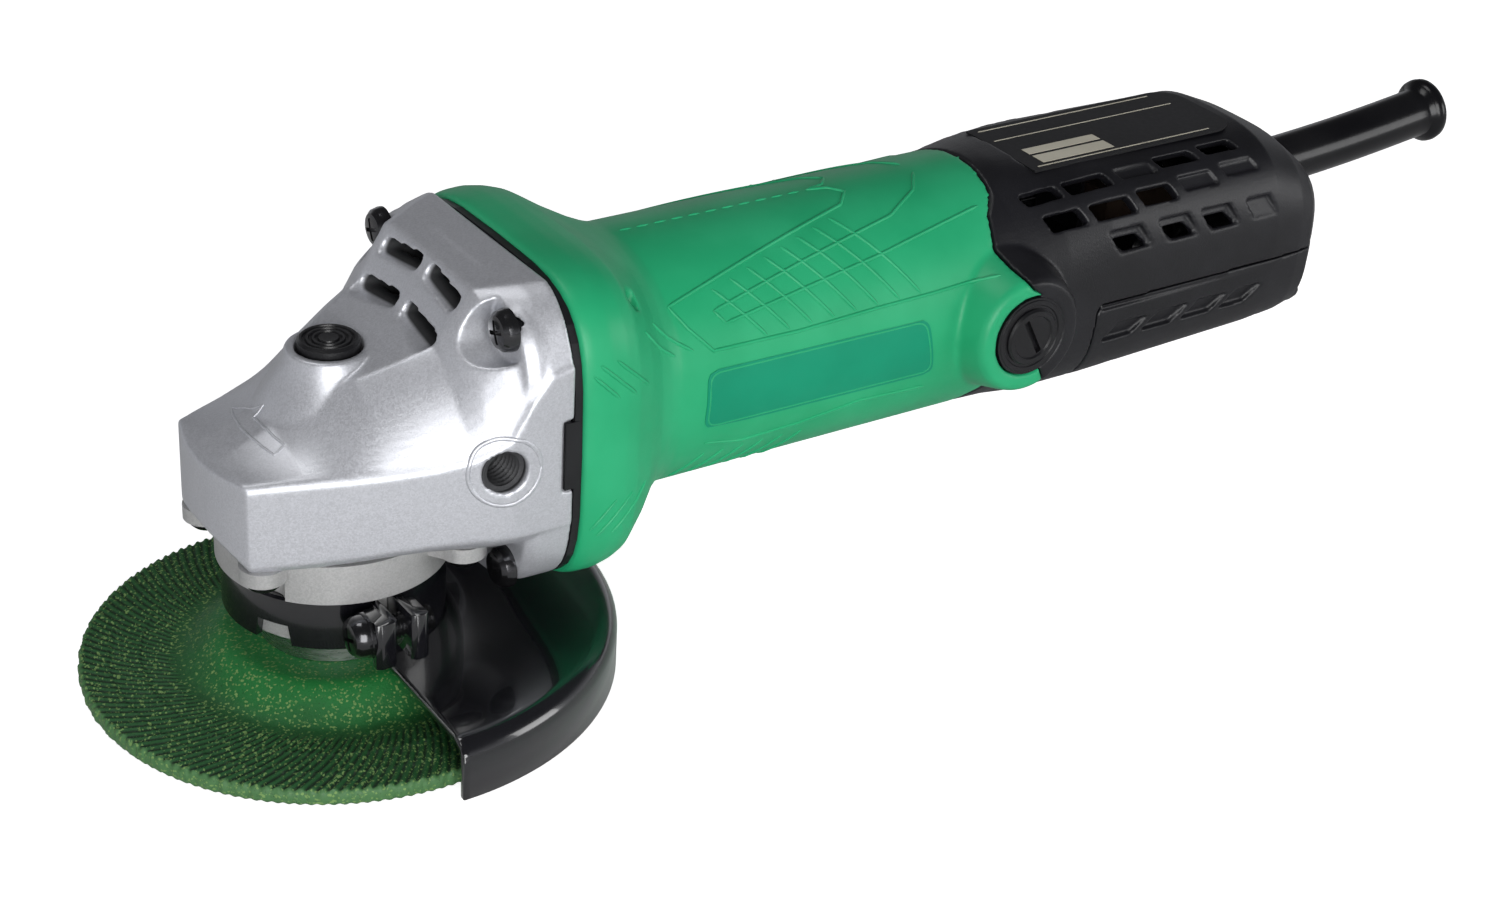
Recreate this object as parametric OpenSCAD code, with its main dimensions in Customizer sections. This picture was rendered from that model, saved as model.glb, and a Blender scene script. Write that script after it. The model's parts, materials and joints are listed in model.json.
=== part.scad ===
/* [Wheel] */
// Outer diameter of the grinding wheel
wheel_d = 100; // [85:1:104]
// Thickness of the wheel
wheel_t = 3.5; // [3:0.1:4.5]
// Bore of the wheel
wheel_bore_d = 16; // [15:0.5:18]
// How far the depressed centre stands above the grinding face
hub_rise = 5.5; // [5:0.1:7]
// Radius of the flat raised centre
hub_r = 21; // [18:1:24]
// How far the spindle end lies inside the grinding face
spindle_inset = 1; // [0.5:0.1:2]

/* [Spindle] */
// Diameter of the spindle thread that carries the wheel
thread_d = 10; // [8:1:10]
// Diameter of the spindle in its ball bearing and gear
spindle_d = 12; // [11:1:13]
// Height of the spindle shoulder that the inner flange seats on
shoulder_z = 12; // [11.5:0.5:13]
// Top end of the spindle
spindle_top_z = 56; // [55:0.5:56.5]
// Outer diameter of the inner and outer wheel flanges
flange_d = 30; // [26:1:32]
// Outer diameter of the spindle ball bearing
lower_bearing_od = 32; // [30:1:33]
// Width of the spindle ball bearing
lower_bearing_w = 10; // [8:1:10]
// Outer diameter of the bush at the top of the spindle
bush_od = 16; // [15:1:17]

/* [Gears] */
// Height of the motor axis above the spindle's free end
motor_z = 52.5; // [52:0.1:53.5]
// Teeth of the spindle gear
gear_teeth = 34; // [30:1:36]
// Teeth of the motor pinion
pinion_teeth = 11; // [10:1:12]
// Pitch diameter of the spindle gear at its large end
gear_pitch_d = 38.6; // [36:0.1:38.8]
// Length of the teeth along the pitch cone
tooth_face = 5.6; // [4:0.1:6]
// Share of the pitch that a tooth fills on the pitch line
tooth_share = 0.36; // [0.32:0.01:0.38]

/* [Gear case] */
// Half width of the case at its joint with the motor housing
joint_half_w = 33.8; // [33:0.1:36]
// Half height of the case at its joint with the motor housing
joint_half_h = 32.2; // [31.5:0.1:34]
// Position of the joint along the tool
joint_x = 34; // [34:0.5:36]
// Thickness of the joint flange that the long screws clamp
joint_flange_t = 9.5; // [8:0.5:11]
// Bottom face of the gear case
case_bottom_z = 34; // [33.5:0.1:34.5]
// Height of the ridge that runs back from the nose corners
ridge_z = 52.8; // [52:0.1:54]
// Radius of the chamber that the spindle gear turns in
gear_chamber_r = 20.9; // [20.5:0.1:22]
// Distance of the long case screws from the motor axis, across and up
case_screw_offset = 25.3; // [24.5:0.1:26]
// Diameter of the long case screws
case_screw_d = 4; // [3.5:0.5:5]
// Position along the tool of the two side handle holes
handle_x = 20; // [18:0.5:22]
// Distance from the centre plane to the face round a side handle hole
handle_face_y = 33.5; // [33:0.1:34]
// Wall diameter of the side handle holes
handle_hole_d = 6.8; // [6.6:0.1:8.2]
// Depth of the side handle holes
handle_hole_depth = 11; // [9:0.5:11.5]

/* [Lock button] */
// Diameter of the spindle lock button
lock_button_d = 12; // [11:0.5:15]
// Height of the top of the button
lock_button_top_z = 70.6; // [70:0.1:71.5]
// Travel of the button
lock_travel = 4; // [3:0.1:4]
// Diameter of the lock pin
lock_pin_d = 6; // [5:0.5:7]
// Thickness of the tongue at the pin's lower end
lock_tongue_t = 2.4; // [2:0.1:2.8]

/* [Guard] */
// Outer radius of the wheel guard
guard_r = 55.8; // [55.5:0.1:58]
// Bottom edge of the guard's skirt
guard_bottom_z = -0.3; // [-0.8:0.1:0]
// Top face of the guard's plate
guard_top_z = 12.1; // [11.8:0.1:13]
// Thickness of the guard's sheet
guard_t = 1.6; // [1.2:0.1:2]
// Angle that the guard covers
guard_angle = 180; // [165:1:190]
// Outer radius of the neck that the guard's collar clamps
neck_r = 20; // [19.5:0.1:20.5]
// Thickness of the collar band
collar_t = 1.8; // [1.5:0.1:2.2]
// Bottom edge of the collar band in front
collar_bottom_z = 16.1; // [15.5:0.1:17]
// Top edge of the collar band, under the neck's shoulder
collar_top_z = 25.6; // [25:0.1:26]
// Diameter of the clamp screw
clamp_screw_d = 5; // [4:0.5:5]

/* [Motor housing] */
// Outer radius of the round barrel
barrel_r = 27; // [26.8:0.1:28]
// Wall of the barrel
barrel_wall = 2.2; // [1.8:0.1:2.4]
// End of the wide front collar
collar_end_x = 62; // [60:1:64]
// Rear end of the motor housing
housing_end_x = 147; // [146:0.5:149]
// Position of the carbon brushes along the tool
brush_x = 143.6; // [143:0.1:144]
// Distance from the centre plane to the face of a brush cap
brush_cap_y = 34.1; // [33.8:0.1:35]
// Diameter of the brush caps
brush_cap_d = 12.6; // [11.5:0.1:13]

/* [Motor] */
// Diameter of the armature's iron core
core_d = 33; // [30:0.5:33]
// Length of the armature's iron core
core_len = 40; // [34:1:42]
// Start of the iron core
core_x = 72; // [71:1:73]
// Air gap between armature and stator
air_gap = 0.5; // [0.4:0.1:0.8]
// Diameter of the commutator
commutator_d = 22; // [20:1:23]
// Diameter of the cooling fan
fan_d = 50; // [44:1:53]

/* [Tail] */
// Half width of the tail
tail_half_w = 27; // [26.5:0.1:27.5]
// Top face of the tail
tail_top_z = 79.2; // [78.5:0.1:79.5]
// Bottom face of the tail
tail_bottom_z = 28; // [27:0.5:29]
// Rear end of the tail
tail_end_x = 234; // [232:1:238]
// Wall of the tail covers
tail_wall = 2.2; // [1.8:0.1:2.6]
// Height of the joint between the upper and the lower tail cover
tail_split_z = 51.6; // [50.5:0.1:52]
// Front end of the lower tail cover
lower_cover_x = 166.8; // [166:0.1:168]

/* [Switch] */
// Position of the switch lever along the tool
switch_x = 200; // [198:1:202]
// Height of the switch lever's pivot
switch_z = 58; // [57:0.5:60]
// Swing of the lever from off to on, in degrees
switch_swing = 26; // [20:1:28]
// Length of the lever from its pivot
switch_lever_len = 15; // [12:0.5:17]

/* [Cord guard] */
// Length of the cord guard behind the tail
cord_guard_len = 55; // [45:1:62]
// Outer diameter of the cord guard
cord_guard_d = 11.4; // [11:0.1:12]
// Diameter of the bore that the cord passes through
cord_bore_d = 7.8; // [7:0.1:8.2]
// Upward tilt of the cord guard in degrees
cord_guard_tilt = 5; // [0:0.5:7]

/* [Clearances] */
// Radial clearance of a shaft in its bearing
run_gap = 0.05; // [0.02:0.01:0.08]
// Radial clearance of a fixed piece in its seat
seat_gap = 0.03; // [0.02:0.01:0.06]
// Clearance between pieces that pass without touching
free_gap = 0.3; // [0.2:0.05:0.4]
// Visible gap between two covers
cover_gap = 0.4; // [0.3:0.1:0.8]

/* [Hidden] */
$fn = 64;
over = 0.5; // how far a cut runs past a face

// Heights of the wheel stack
wheel_bottom_z = -spindle_inset;
hub_bottom_z = wheel_bottom_z + hub_rise;
hub_top_z = hub_bottom_z + wheel_t;
nut_t = hub_bottom_z - 0.5;
flange_pilot_h = wheel_t - 0.5;

// Bevel gears: both pitch cones meet where the motor axis crosses the spindle
gear_cone = atan(gear_teeth / pinion_teeth);
pinion_cone = 90 - gear_cone;
cone_len = gear_pitch_d / 2 / sin(gear_cone);
cone_inner = cone_len - tooth_face;
tooth_pitch = PI * gear_pitch_d / gear_teeth;
addendum_angle = atan(0.2 * tooth_pitch / cone_len);
dedendum_angle = atan(0.34 * tooth_pitch / cone_len);
flank_lean = 0.12; // how much of the pitch each flank leans between root and tip
gear_base_z = 41;
gear_web_z = 37;
hub_gear_r = 10;
gear_hub_top_z = 44;
clip_t = 1.2;

// Spindle bearing and bush
lower_bearing_z = case_bottom_z - lower_bearing_w - 0.1;
neck_bottom_z = 15.5;
bush_bottom_z = 47.5;
bush_top_z = spindle_top_z - 0.5;
bush_boss_r = bush_od / 2 + 2.5;
chamber_top_z = 50.5;
seal_r = 10;
seal_z = 17;
seal_h = 4;

// Lock mechanism
lock_slot_w = lock_tongue_t + 0.3;
lock_tip_z = spindle_top_z + 1.2;
lock_slot_depth = lock_travel - 1.2 + 0.5;
lock_tongue_h = lock_travel - 0.4;
button_h = 4.4;
button_bottom_z = lock_button_top_z - button_h;
pocket_floor_z = button_bottom_z - lock_travel - 0.4;
spring_wire_d = 0.9;
spring_r = lock_pin_d / 2 + 0.5 + spring_wire_d / 2;
spring_turns = 4;

// Screws of the bearing cover: two in front, two behind
cover_screw_d = 4;
cover_screw_places = [[-20.5, -13], [-20.5, 13], [16.5, -22.4], [16.5, 22.4]];
cover_head_r = 3.6;
cover_ear_r = 4.6;
cover_ear_t = 3;
cover_ear_z = case_bottom_z - cover_ear_t - 0.1;
cover_seat_z = cover_ear_z + 0.2;
cover_screw_len = 12;

// Front bearing and pinion
front_bearing_od = 26;
front_bearing_w = 8;
front_bearing_x = joint_x - front_bearing_w - 1;
front_shaft_r = 5;
pinion_shaft_r = 3;
pinion_end_x = front_bearing_x - 0.5;
pinion_chamber_r = 8.8;
seat_wall = 2.5;

// Inner cover and housing
inner_cover_t = 1.6;
housing_x = joint_x + inner_cover_t;
fan_chamber_r = 29;
spigot_r = barrel_r - barrel_wall - 0.6;
spigot_wall = 2.4;
rear_bearing_od = 22;
rear_bearing_w = 7;
rear_shaft_r = 4;
rear_wall_x = 153.5;
rear_wall_t = 2.5;
rear_bearing_x = rear_wall_x + rear_wall_t + 1;
case_screw_len = 20;
screw_head_h = 3.2;
screw_seat_x = joint_x - joint_flange_t;

// Brushes
holder_r = brush_cap_d / 2 + 0.7;
holder_flange_r = holder_r + 1.6;
ear_r = holder_flange_r + 4.4;
ear_base_r = ear_r + 4;
brush_w = 8;
brush_t = 5;
brush_len = 14;
brush_in_y = commutator_d / 2 + 0.05;
cap_t = 3.4;
cap_in_y = brush_cap_y - cap_t;

// Motor
stator_r = barrel_r - barrel_wall - 0.1;
stator_bore_r = core_d / 2 + air_gap;
coil_in_r = stator_bore_r + 1.4;
coil_out_r = stator_r - 1.2;
coil_w = 6;
coil_turn = 38; // angle of each coil side from the middle of its pole
coil_end = 6;
fan_x = 41;
fan_len = 12;
fan_blades = 11;
commutator_x = brush_x - 9.5;
commutator_len = 19;
shaft_front_x = 13.2;

// Tail
tail_start_x = housing_end_x + cover_gap;
cord_z = 60.2;
cord_flange_r = 8.6;
cord_end_flange_r = 7.6;
cord_end_flange_t = 2.6;
cord_start_x = tail_end_x - tail_wall - 3;
plate_len = 58;
plate_w = 21;
plate_t = 0.8;
plate_x = 158;
bushing_r = 6;
bushing_bore_r = 4.5;
lever_ball_r = 4.2;
switch_wall_y = tail_half_w - 4.4;
switch_pivot_y = 22;
switch_depth = 15;
tail_screw_x = [178, 220];
tail_screw_y = 17;
tail_screw_d = 3;
tail_block_h = 8;
tail_boss_r = 4.2;
tail_head_z = 45;
shelf_x = tail_end_x - 11.5;
clip_top_z = cord_z + cord_bore_d / 2 + 1.2;
shelf_len = cord_start_x - 0.5 - shelf_x;
shelf_t = 2.6;
clip_screw_y = 9;
clip_screw_d = 3;

// ---------- helpers ----------

// A tube that stands on z = 0
module tube(r_out, r_in, h) {
    difference() {
        cylinder(r = r_out, h = h);
        translate([0, 0, -over]) cylinder(r = r_in, h = h + 2 * over);
    }
}

// Puts children that stand on z = 0 onto the motor axis, pointing at the tail
module on_motor_axis(x) {
    translate([x, 0, motor_z]) rotate([0, 90, 0]) children();
}

// Puts children that stand on z = 0 along +Y (side = 1) or -Y (side = -1)
module to_side(side, x, y, z) {
    translate([x, side * y, z]) rotate([-90 * side, 0, 0]) children();
}

// One ring of a lofted shell: a rounded rectangle from a superellipse
function shell_ring(x, half_w, top_z, bottom_z, power, count = 36) = [
    for (i = [0:count - 1])
        let (a = 360 * i / count, c = cos(a), s = sin(a))
        [x, half_w * sign(c) * pow(abs(c), 2 / power),
            (top_z + bottom_z) / 2 + (top_z - bottom_z) / 2 * sign(s) * pow(abs(s), 2 / power)]
];

// A solid skinned over rings that follow each other along +X
module loft(rings) {
    m = len(rings[0]);
    n = len(rings);
    polyhedron(
        points = [for (ring = rings) each ring],
        faces = [
            [for (j = [0:m - 1]) j],
            [for (j = [m - 1:-1:0]) (n - 1) * m + j],
            for (i = [0:n - 2]) for (j = [0:m - 1])
                [i * m + j, (i + 1) * m + j, i * m + (j + 1) % m],
            for (i = [0:n - 2]) for (j = [0:m - 1])
                [i * m + (j + 1) % m, (i + 1) * m + j, (i + 1) * m + (j + 1) % m]
        ]);
}

// A closed ring of loops, such as a toothed crown: each loop has the same number of points
module loop_ring(loops) {
    m = len(loops[0]);
    n = len(loops);
    polyhedron(
        points = [for (points_of_loop = loops) each points_of_loop],
        faces = [
            for (i = [0:n - 1]) for (j = [0:m - 1])
                [i * m + j, ((i + 1) % n) * m + j, i * m + (j + 1) % m],
            for (i = [0:n - 1]) for (j = [0:m - 1])
                [i * m + (j + 1) % m, ((i + 1) % n) * m + j, ((i + 1) % n) * m + (j + 1) % m]
        ]);
}

// Ball bearing that stands on z = 0
module ball_bearing(bore_r, od, w, balls) {
    outer_r = od / 2;
    ring_t = (outer_r - bore_r) * 0.28;
    ball_path_r = (outer_r + bore_r) / 2;
    ball_r = outer_r - ring_t - ball_path_r - 0.05;
    tube(outer_r, outer_r - ring_t, w);
    tube(bore_r + ring_t, bore_r, w);
    for (i = [0:balls - 1])
        rotate([0, 0, 360 * i / balls])
            translate([ball_path_r, 0, w / 2])
                sphere(r = ball_r, $fn = 24);
}

// Screw that stands on its tip at z = 0, with a round head and a cross slot on top
module round_head_screw(d, len, head_r, head_h) {
    slot = head_r * 0.35;
    cylinder(d = d, h = len);
    difference() {
        translate([0, 0, len]) cylinder(r = head_r, h = head_h);
        for (turn = [0, 90])
            translate([0, 0, len + head_h]) rotate([0, 0, turn])
                cube([head_r * 1.4, slot, head_h], center = true);
    }
}

// ---------- gear head ----------

// Half outline of the case across the tool, from its bottom edge up to its top face
function case_half(half_w, ridge, top_half_w, top_z, bottom_z) = [
    [half_w - 2.5, bottom_z],
    [half_w, bottom_z + 2.5],
    [half_w, ridge - 1],
    [half_w - 1.2, ridge + 0.8],
    [top_half_w + (half_w - top_half_w) * 0.3, top_z - (top_z - ridge) * 0.25],
    [top_half_w, top_z]
];

function case_ring(x, half_w, ridge, top_half_w, top_z, bottom_z) =
    let (half = case_half(half_w, ridge, top_half_w, top_z, bottom_z))
    [
        for (p = half) [x, p[0], p[1]],
        for (i = [len(half) - 1:-1:0]) [x, -half[i][0], half[i][1]]
    ];

nose_half_w = 15.4;
nose_x = -24.4;
nose_tip_x = -27.4;
handle_half_w = joint_half_w - 0.5;
function case_half_w(x) =
    nose_half_w + (handle_half_w - nose_half_w) * min(1, (x - nose_x) / (handle_x - nose_x));
case_top_z = motor_z + joint_half_h;
slope_top_x = 21.3;
slope_foot_x = 13.8;

module case_outside() {
    loft([
        case_ring(nose_tip_x, 6, 47.5, 5, 49, 42),
        case_ring((nose_x + nose_tip_x) / 2, 12, 50.3, 10, 51.4, 37),
        case_ring(nose_x, nose_half_w, ridge_z - 1, nose_half_w - 3, ridge_z, case_bottom_z),
        case_ring(-14, case_half_w(-14), ridge_z - 0.4, 12, ridge_z + 3.2, case_bottom_z),
        case_ring(0, case_half_w(0), ridge_z + 0.5, 11, case_top_z - 21, case_bottom_z),
        case_ring(8, case_half_w(8), ridge_z + 1, 12, case_top_z - 16, case_bottom_z),
        case_ring(slope_foot_x, case_half_w(slope_foot_x), ridge_z + 2, 15.5, case_top_z - 12,
            case_bottom_z),
        case_ring(slope_top_x, handle_half_w, ridge_z + 3, 16.8, case_top_z - 1.6, case_bottom_z),
        case_ring(joint_x, joint_half_w, motor_z + joint_half_h * 0.45, joint_half_w * 0.66,
            case_top_z, case_bottom_z)
    ]);
    // joint flange
    loft([
        shell_ring(screw_seat_x, joint_half_w - 0.6, case_top_z - 1.2,
            motor_z - joint_half_h + 0.6, 4),
        shell_ring(joint_x, joint_half_w, case_top_z, motor_z - joint_half_h, 4)
    ]);
    // boss round the lock button
    translate([0, 0, chamber_top_z])
        cylinder(r = lock_button_d / 2 + 2.2, h = lock_button_top_z - 1.6 - chamber_top_z);
    // bosses of the side handle holes
    for (side = [-1, 1])
        to_side(side, handle_x, handle_face_y - 6, motor_z) cylinder(r = 8, h = 6);
}

module case_cavities() {
    // gear chamber, with the bush boss left standing in its roof
    difference() {
        translate([0, 0, case_bottom_z - over])
            cylinder(r = gear_chamber_r, h = chamber_top_z - case_bottom_z + over);
        translate([0, 0, bush_bottom_z - free_gap])
            cylinder(r = bush_boss_r, h = chamber_top_z);
    }
    // bush seat, room for the spindle's end, pin bore and button pocket
    translate([0, 0, bush_bottom_z - 1])
        cylinder(d = bush_od + 2 * seat_gap, h = bush_top_z - bush_bottom_z + 1);
    translate([0, 0, bush_top_z - over])
        cylinder(d = thread_d + 2 * free_gap, h = lock_tip_z + 0.6 - bush_top_z + over);
    translate([0, 0, spindle_top_z])
        cylinder(d = lock_pin_d + 2 * run_gap, h = case_top_z - spindle_top_z);
    translate([0, 0, pocket_floor_z])
        cylinder(d = lock_button_d + 2 * free_gap, h = case_top_z - pocket_floor_z);
    // pinion chamber and front bearing seat
    on_motor_axis(bush_boss_r + 1) cylinder(r = pinion_chamber_r, h = joint_x);
    on_motor_axis(front_bearing_x) cylinder(d = front_bearing_od + 2 * seat_gap, h = joint_x);
    // air chamber above the bearing seat
    translate([0, 14, 0]) rotate([90, 0, 0]) linear_extrude(28)
        polygon([
            [slope_foot_x + 2, 66],
            [joint_x + over, motor_z + front_bearing_od / 2 + seat_wall + 0.5],
            [joint_x + over, case_top_z - 3],
            [slope_top_x + 3, case_top_z - 4.2],
            [slope_foot_x + 4.4, case_top_z - 13]
        ]);
    // exhaust slots: two pairs, one above the other
    for (side = [-1, 1]) for (row = [0, 1])
        translate([slope_foot_x - 4 + row * 4, side * 8.4 - 6.6, case_top_z - 13 + row * 6.6])
            cube([12, 13.2, 2.8]);
    // side handle holes
    for (side = [-1, 1])
        to_side(side, handle_x, handle_face_y - handle_hole_depth, motor_z)
            cylinder(d = handle_hole_d, h = handle_hole_depth + over);
    // long case screws, with a pocket in front of each upper head
    for (side = [-1, 1]) for (level = [-1, 1])
        translate([0, side * case_screw_offset, level * case_screw_offset]) {
            on_motor_axis(screw_seat_x - over)
                cylinder(d = case_screw_d + 0.4, h = 2 * joint_flange_t);
            on_motor_axis(screw_seat_x - 24) cylinder(r = 6.4, h = 24);
        }
    // bearing cover screws
    for (place = cover_screw_places)
        translate([place[0], place[1], case_bottom_z - over])
            cylinder(d = cover_screw_d + 2 * seat_gap, h = cover_screw_len);
    // notch for the inner cover's tab on each side
    for (side = [-1, 1])
        translate([joint_x - 2.4, side * (joint_half_w + 0.1) - 1, motor_z - 7])
            cube([3, 2, 15]);
}

module gear_case() color([0.78, 0.80, 0.84]) {
    difference() {
        case_outside();
        case_cavities();
    }
}

module bearing_cover() color([0.74, 0.75, 0.76]) {
    spigot_h = 2;
    shoulder_r = neck_r + 2.8;
    difference() {
        union() {
            translate([0, 0, neck_bottom_z])
                cylinder(r = neck_r, h = case_bottom_z - neck_bottom_z - 1);
            translate([0, 0, collar_top_z + 0.1])
                cylinder(r = shoulder_r, h = case_bottom_z - collar_top_z - 0.1);
            translate([0, 0, case_bottom_z - 1])
                cylinder(r = gear_chamber_r - 0.1, h = spigot_h + 1);
            translate([0, 0, cover_ear_z])
                linear_extrude(cover_ear_t)
                    for (place = cover_screw_places) {
                        translate(place) circle(r = cover_ear_r);
                        rotate(atan2(place[1], place[0]))
                            translate([neck_r - 1, -cover_ear_r + 0.5])
                                square([norm(place) - neck_r + 1, 2 * cover_ear_r - 1]);
                    }
        }
        translate([0, 0, neck_bottom_z - over])
            cylinder(r = spindle_d / 2 + 1.5, h = case_bottom_z);
        translate([0, 0, seal_z]) cylinder(r = seal_r + seat_gap, h = seal_h);
        translate([0, 0, lower_bearing_z])
            cylinder(d = lower_bearing_od + 2 * seat_gap, h = case_bottom_z);
        for (place = cover_screw_places)
            translate([place[0], place[1], cover_ear_z - over])
                cylinder(d = cover_screw_d + 0.4, h = cover_ear_t + 2 * over);
        // spot face for each screw head
        for (place = cover_screw_places)
            translate([place[0], place[1], collar_top_z - over])
                cylinder(r = cover_head_r + free_gap, h = cover_seat_z - collar_top_z + over);
    }
}

module bearing_cover_screws() color([0.08, 0.08, 0.09]) {
    for (place = cover_screw_places)
        translate([place[0], place[1], cover_seat_z]) mirror([0, 0, 1])
            translate([0, 0, -cover_screw_len + 1.2])
                round_head_screw(cover_screw_d, cover_screw_len - 1.2, cover_head_r, 2.4);
}

module case_screws() color([0.08, 0.08, 0.09]) {
    for (side = [-1, 1]) for (level = [-1, 1])
        translate([screw_seat_x + case_screw_len, side * case_screw_offset,
                motor_z + level * case_screw_offset])
            rotate([0, -90, 0])
                round_head_screw(case_screw_d, case_screw_len, 4.2, screw_head_h);
}

module inner_cover() color([0.06, 0.06, 0.07]) {
    window_r = 11.6;
    difference() {
        union() {
            loft([
                shell_ring(joint_x, joint_half_w, case_top_z, motor_z - joint_half_h, 4),
                shell_ring(housing_x, joint_half_w, case_top_z, motor_z - joint_half_h, 4)
            ]);
            for (side = [-1, 1])
                translate([joint_x - 2, side * joint_half_w - (side + 1) / 2 * 0.8, motor_z - 6.6])
                    cube([2 + inner_cover_t / 2, 0.8, 14.2]);
        }
        on_motor_axis(joint_x - over) cylinder(r = window_r, h = 3);
        translate([joint_x - over, -13, motor_z + 17]) cube([3, 26, 11]);
        for (side = [-1, 1]) for (level = [-1, 1])
            translate([0, side * case_screw_offset, level * case_screw_offset])
                on_motor_axis(joint_x - over) cylinder(d = case_screw_d + 0.4, h = 3);
    }
}

module spindle_bearing() color([0.70, 0.71, 0.73]) {
    translate([0, 0, lower_bearing_z])
        ball_bearing(spindle_d / 2 + run_gap, lower_bearing_od, lower_bearing_w, 8);
}

module spindle_bush() color([0.62, 0.50, 0.28]) {
    translate([0, 0, bush_bottom_z])
        tube(bush_od / 2, thread_d / 2 + run_gap, bush_top_z - bush_bottom_z);
}

module dust_seal() color([0.25, 0.25, 0.24]) {
    translate([0, 0, seal_z]) tube(seal_r, spindle_d / 2 + free_gap, seal_h);
}

// ---------- spindle ----------

module spindle() color([0.66, 0.67, 0.69]) {
    difference() {
        union() {
            cylinder(d = thread_d, h = spindle_top_z);
            translate([0, 0, shoulder_z]) cylinder(d = spindle_d, h = gear_hub_top_z - shoulder_z);
        }
        for (turn = [0, 90])
            translate([0, 0, spindle_top_z - lock_slot_depth / 2 + over / 2])
                rotate([0, 0, turn])
                    cube([thread_d + 2, lock_slot_w, lock_slot_depth + over], center = true);
    }
}

// Point on a cone round +Z whose apex is the origin, opening downwards
function cone_point(cone_angle, dist, turn) =
    [dist * sin(cone_angle) * cos(turn), dist * sin(cone_angle) * sin(turn),
        -dist * cos(cone_angle)];

// One end of a row of bevel teeth: root, tip, tip and root of every tooth
function tooth_loop(teeth, cone_angle, dist, turn0) = [
    for (i = [0:teeth - 1])
        for (k = [0:3])
            let (
                half_root = (tooth_share + flank_lean) / 2,
                half_tip = (tooth_share - flank_lean) / 2,
                place = [-half_root, -half_tip, half_tip, half_root][k],
                lift = (k == 1 || k == 2) ? addendum_angle : -dedendum_angle)
            cone_point(cone_angle + lift, dist, turn0 + (i + place) * 360 / teeth)
];

// Bevel teeth with a flat base; the apex of the pitch cone is the origin
module bevel_teeth(teeth, cone_angle, base_z, turn0) {
    outer_end = tooth_loop(teeth, cone_angle, cone_len, turn0);
    inner_end = tooth_loop(teeth, cone_angle, cone_inner, turn0);
    loop_ring([
        outer_end,
        inner_end,
        [for (p = inner_end) [p[0], p[1], base_z]],
        [for (p = outer_end) [p[0], p[1], base_z]]
    ]);
}

module bevel_gear() color([0.45, 0.46, 0.48]) {
    difference() {
        union() {
            translate([0, 0, motor_z])
                bevel_teeth(gear_teeth, gear_cone, gear_base_z - motor_z, 180 / gear_teeth);
            translate([0, 0, gear_web_z])
                cylinder(r = gear_pitch_d / 2 - 1, h = gear_base_z - gear_web_z + 1);
            translate([0, 0, case_bottom_z + 0.1])
                cylinder(r = hub_gear_r, h = gear_hub_top_z - case_bottom_z - 0.1);
        }
        cylinder(r = spindle_d / 2 + seat_gap, h = gear_hub_top_z + over);
    }
}

module gear_clip() color([0.30, 0.30, 0.32]) {
    translate([0, 0, gear_hub_top_z]) tube(thread_d / 2 + 3, thread_d / 2 + seat_gap, clip_t);
}

module inner_flange() color([0.60, 0.61, 0.63]) {
    difference() {
        union() {
            translate([0, 0, hub_top_z]) cylinder(d = flange_d, h = shoulder_z - hub_top_z);
            translate([0, 0, hub_top_z - flange_pilot_h])
                cylinder(r = wheel_bore_d / 2 - 0.7, h = flange_pilot_h + 1);
        }
        cylinder(r = thread_d / 2 + seat_gap, h = shoulder_z + over);
    }
}

module grinding_wheel() color([0.10, 0.30, 0.14]) {
    rim_r = wheel_d / 2;
    slope_r = hub_r + hub_rise * 1.3;
    rotate_extrude($fn = 96) polygon([
        [wheel_bore_d / 2, hub_bottom_z],
        [hub_r, hub_bottom_z],
        [slope_r, wheel_bottom_z],
        [rim_r - 0.5, wheel_bottom_z],
        [rim_r, wheel_bottom_z + 0.5],
        [rim_r, wheel_bottom_z + wheel_t - 0.5],
        [rim_r - 0.5, wheel_bottom_z + wheel_t],
        [slope_r + 1, wheel_bottom_z + wheel_t],
        [hub_r + 1, hub_top_z],
        [wheel_bore_d / 2, hub_top_z]
    ]);
}

module wheel_bush() color([0.72, 0.72, 0.70]) {
    translate([0, 0, hub_bottom_z])
        tube(wheel_bore_d / 2, wheel_bore_d / 2 - 0.6, wheel_t);
}

module wheel_nut() color([0.60, 0.61, 0.63]) {
    pin_hole_r = 2.2;
    difference() {
        translate([0, 0, hub_bottom_z - nut_t]) cylinder(d = flange_d - 2, h = nut_t);
        translate([0, 0, -over]) cylinder(r = thread_d / 2 + seat_gap, h = hub_bottom_z + 2 * over);
        for (turn = [0, 180])
            rotate([0, 0, turn]) translate([10, 0, -over]) cylinder(r = pin_hole_r, h = 3 + over);
    }
}

// ---------- lock ----------

module lock_button() color([0.05, 0.05, 0.06]) {
    ring_w = 0.9;
    difference() {
        translate([0, 0, button_bottom_z]) cylinder(d = lock_button_d, h = button_h);
        for (r = [lock_button_d * 0.2, lock_button_d * 0.36])
            translate([0, 0, lock_button_top_z - 0.5]) tube(r + ring_w / 2, r - ring_w / 2, 1);
        translate([0, 0, button_bottom_z - over])
            cylinder(d = lock_pin_d + 2 * seat_gap, h = 2 + over);
    }
}

module lock_pin() color([0.55, 0.56, 0.58]) {
    difference() {
        translate([0, 0, lock_tip_z])
            cylinder(d = lock_pin_d, h = button_bottom_z + 2 - lock_tip_z);
        for (side = [-1, 1])
            translate([-lock_pin_d, side * (lock_tongue_t / 2 + lock_pin_d) - lock_pin_d,
                    lock_tip_z - over])
                cube([2 * lock_pin_d, 2 * lock_pin_d, lock_tongue_h + over]);
    }
}

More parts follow.
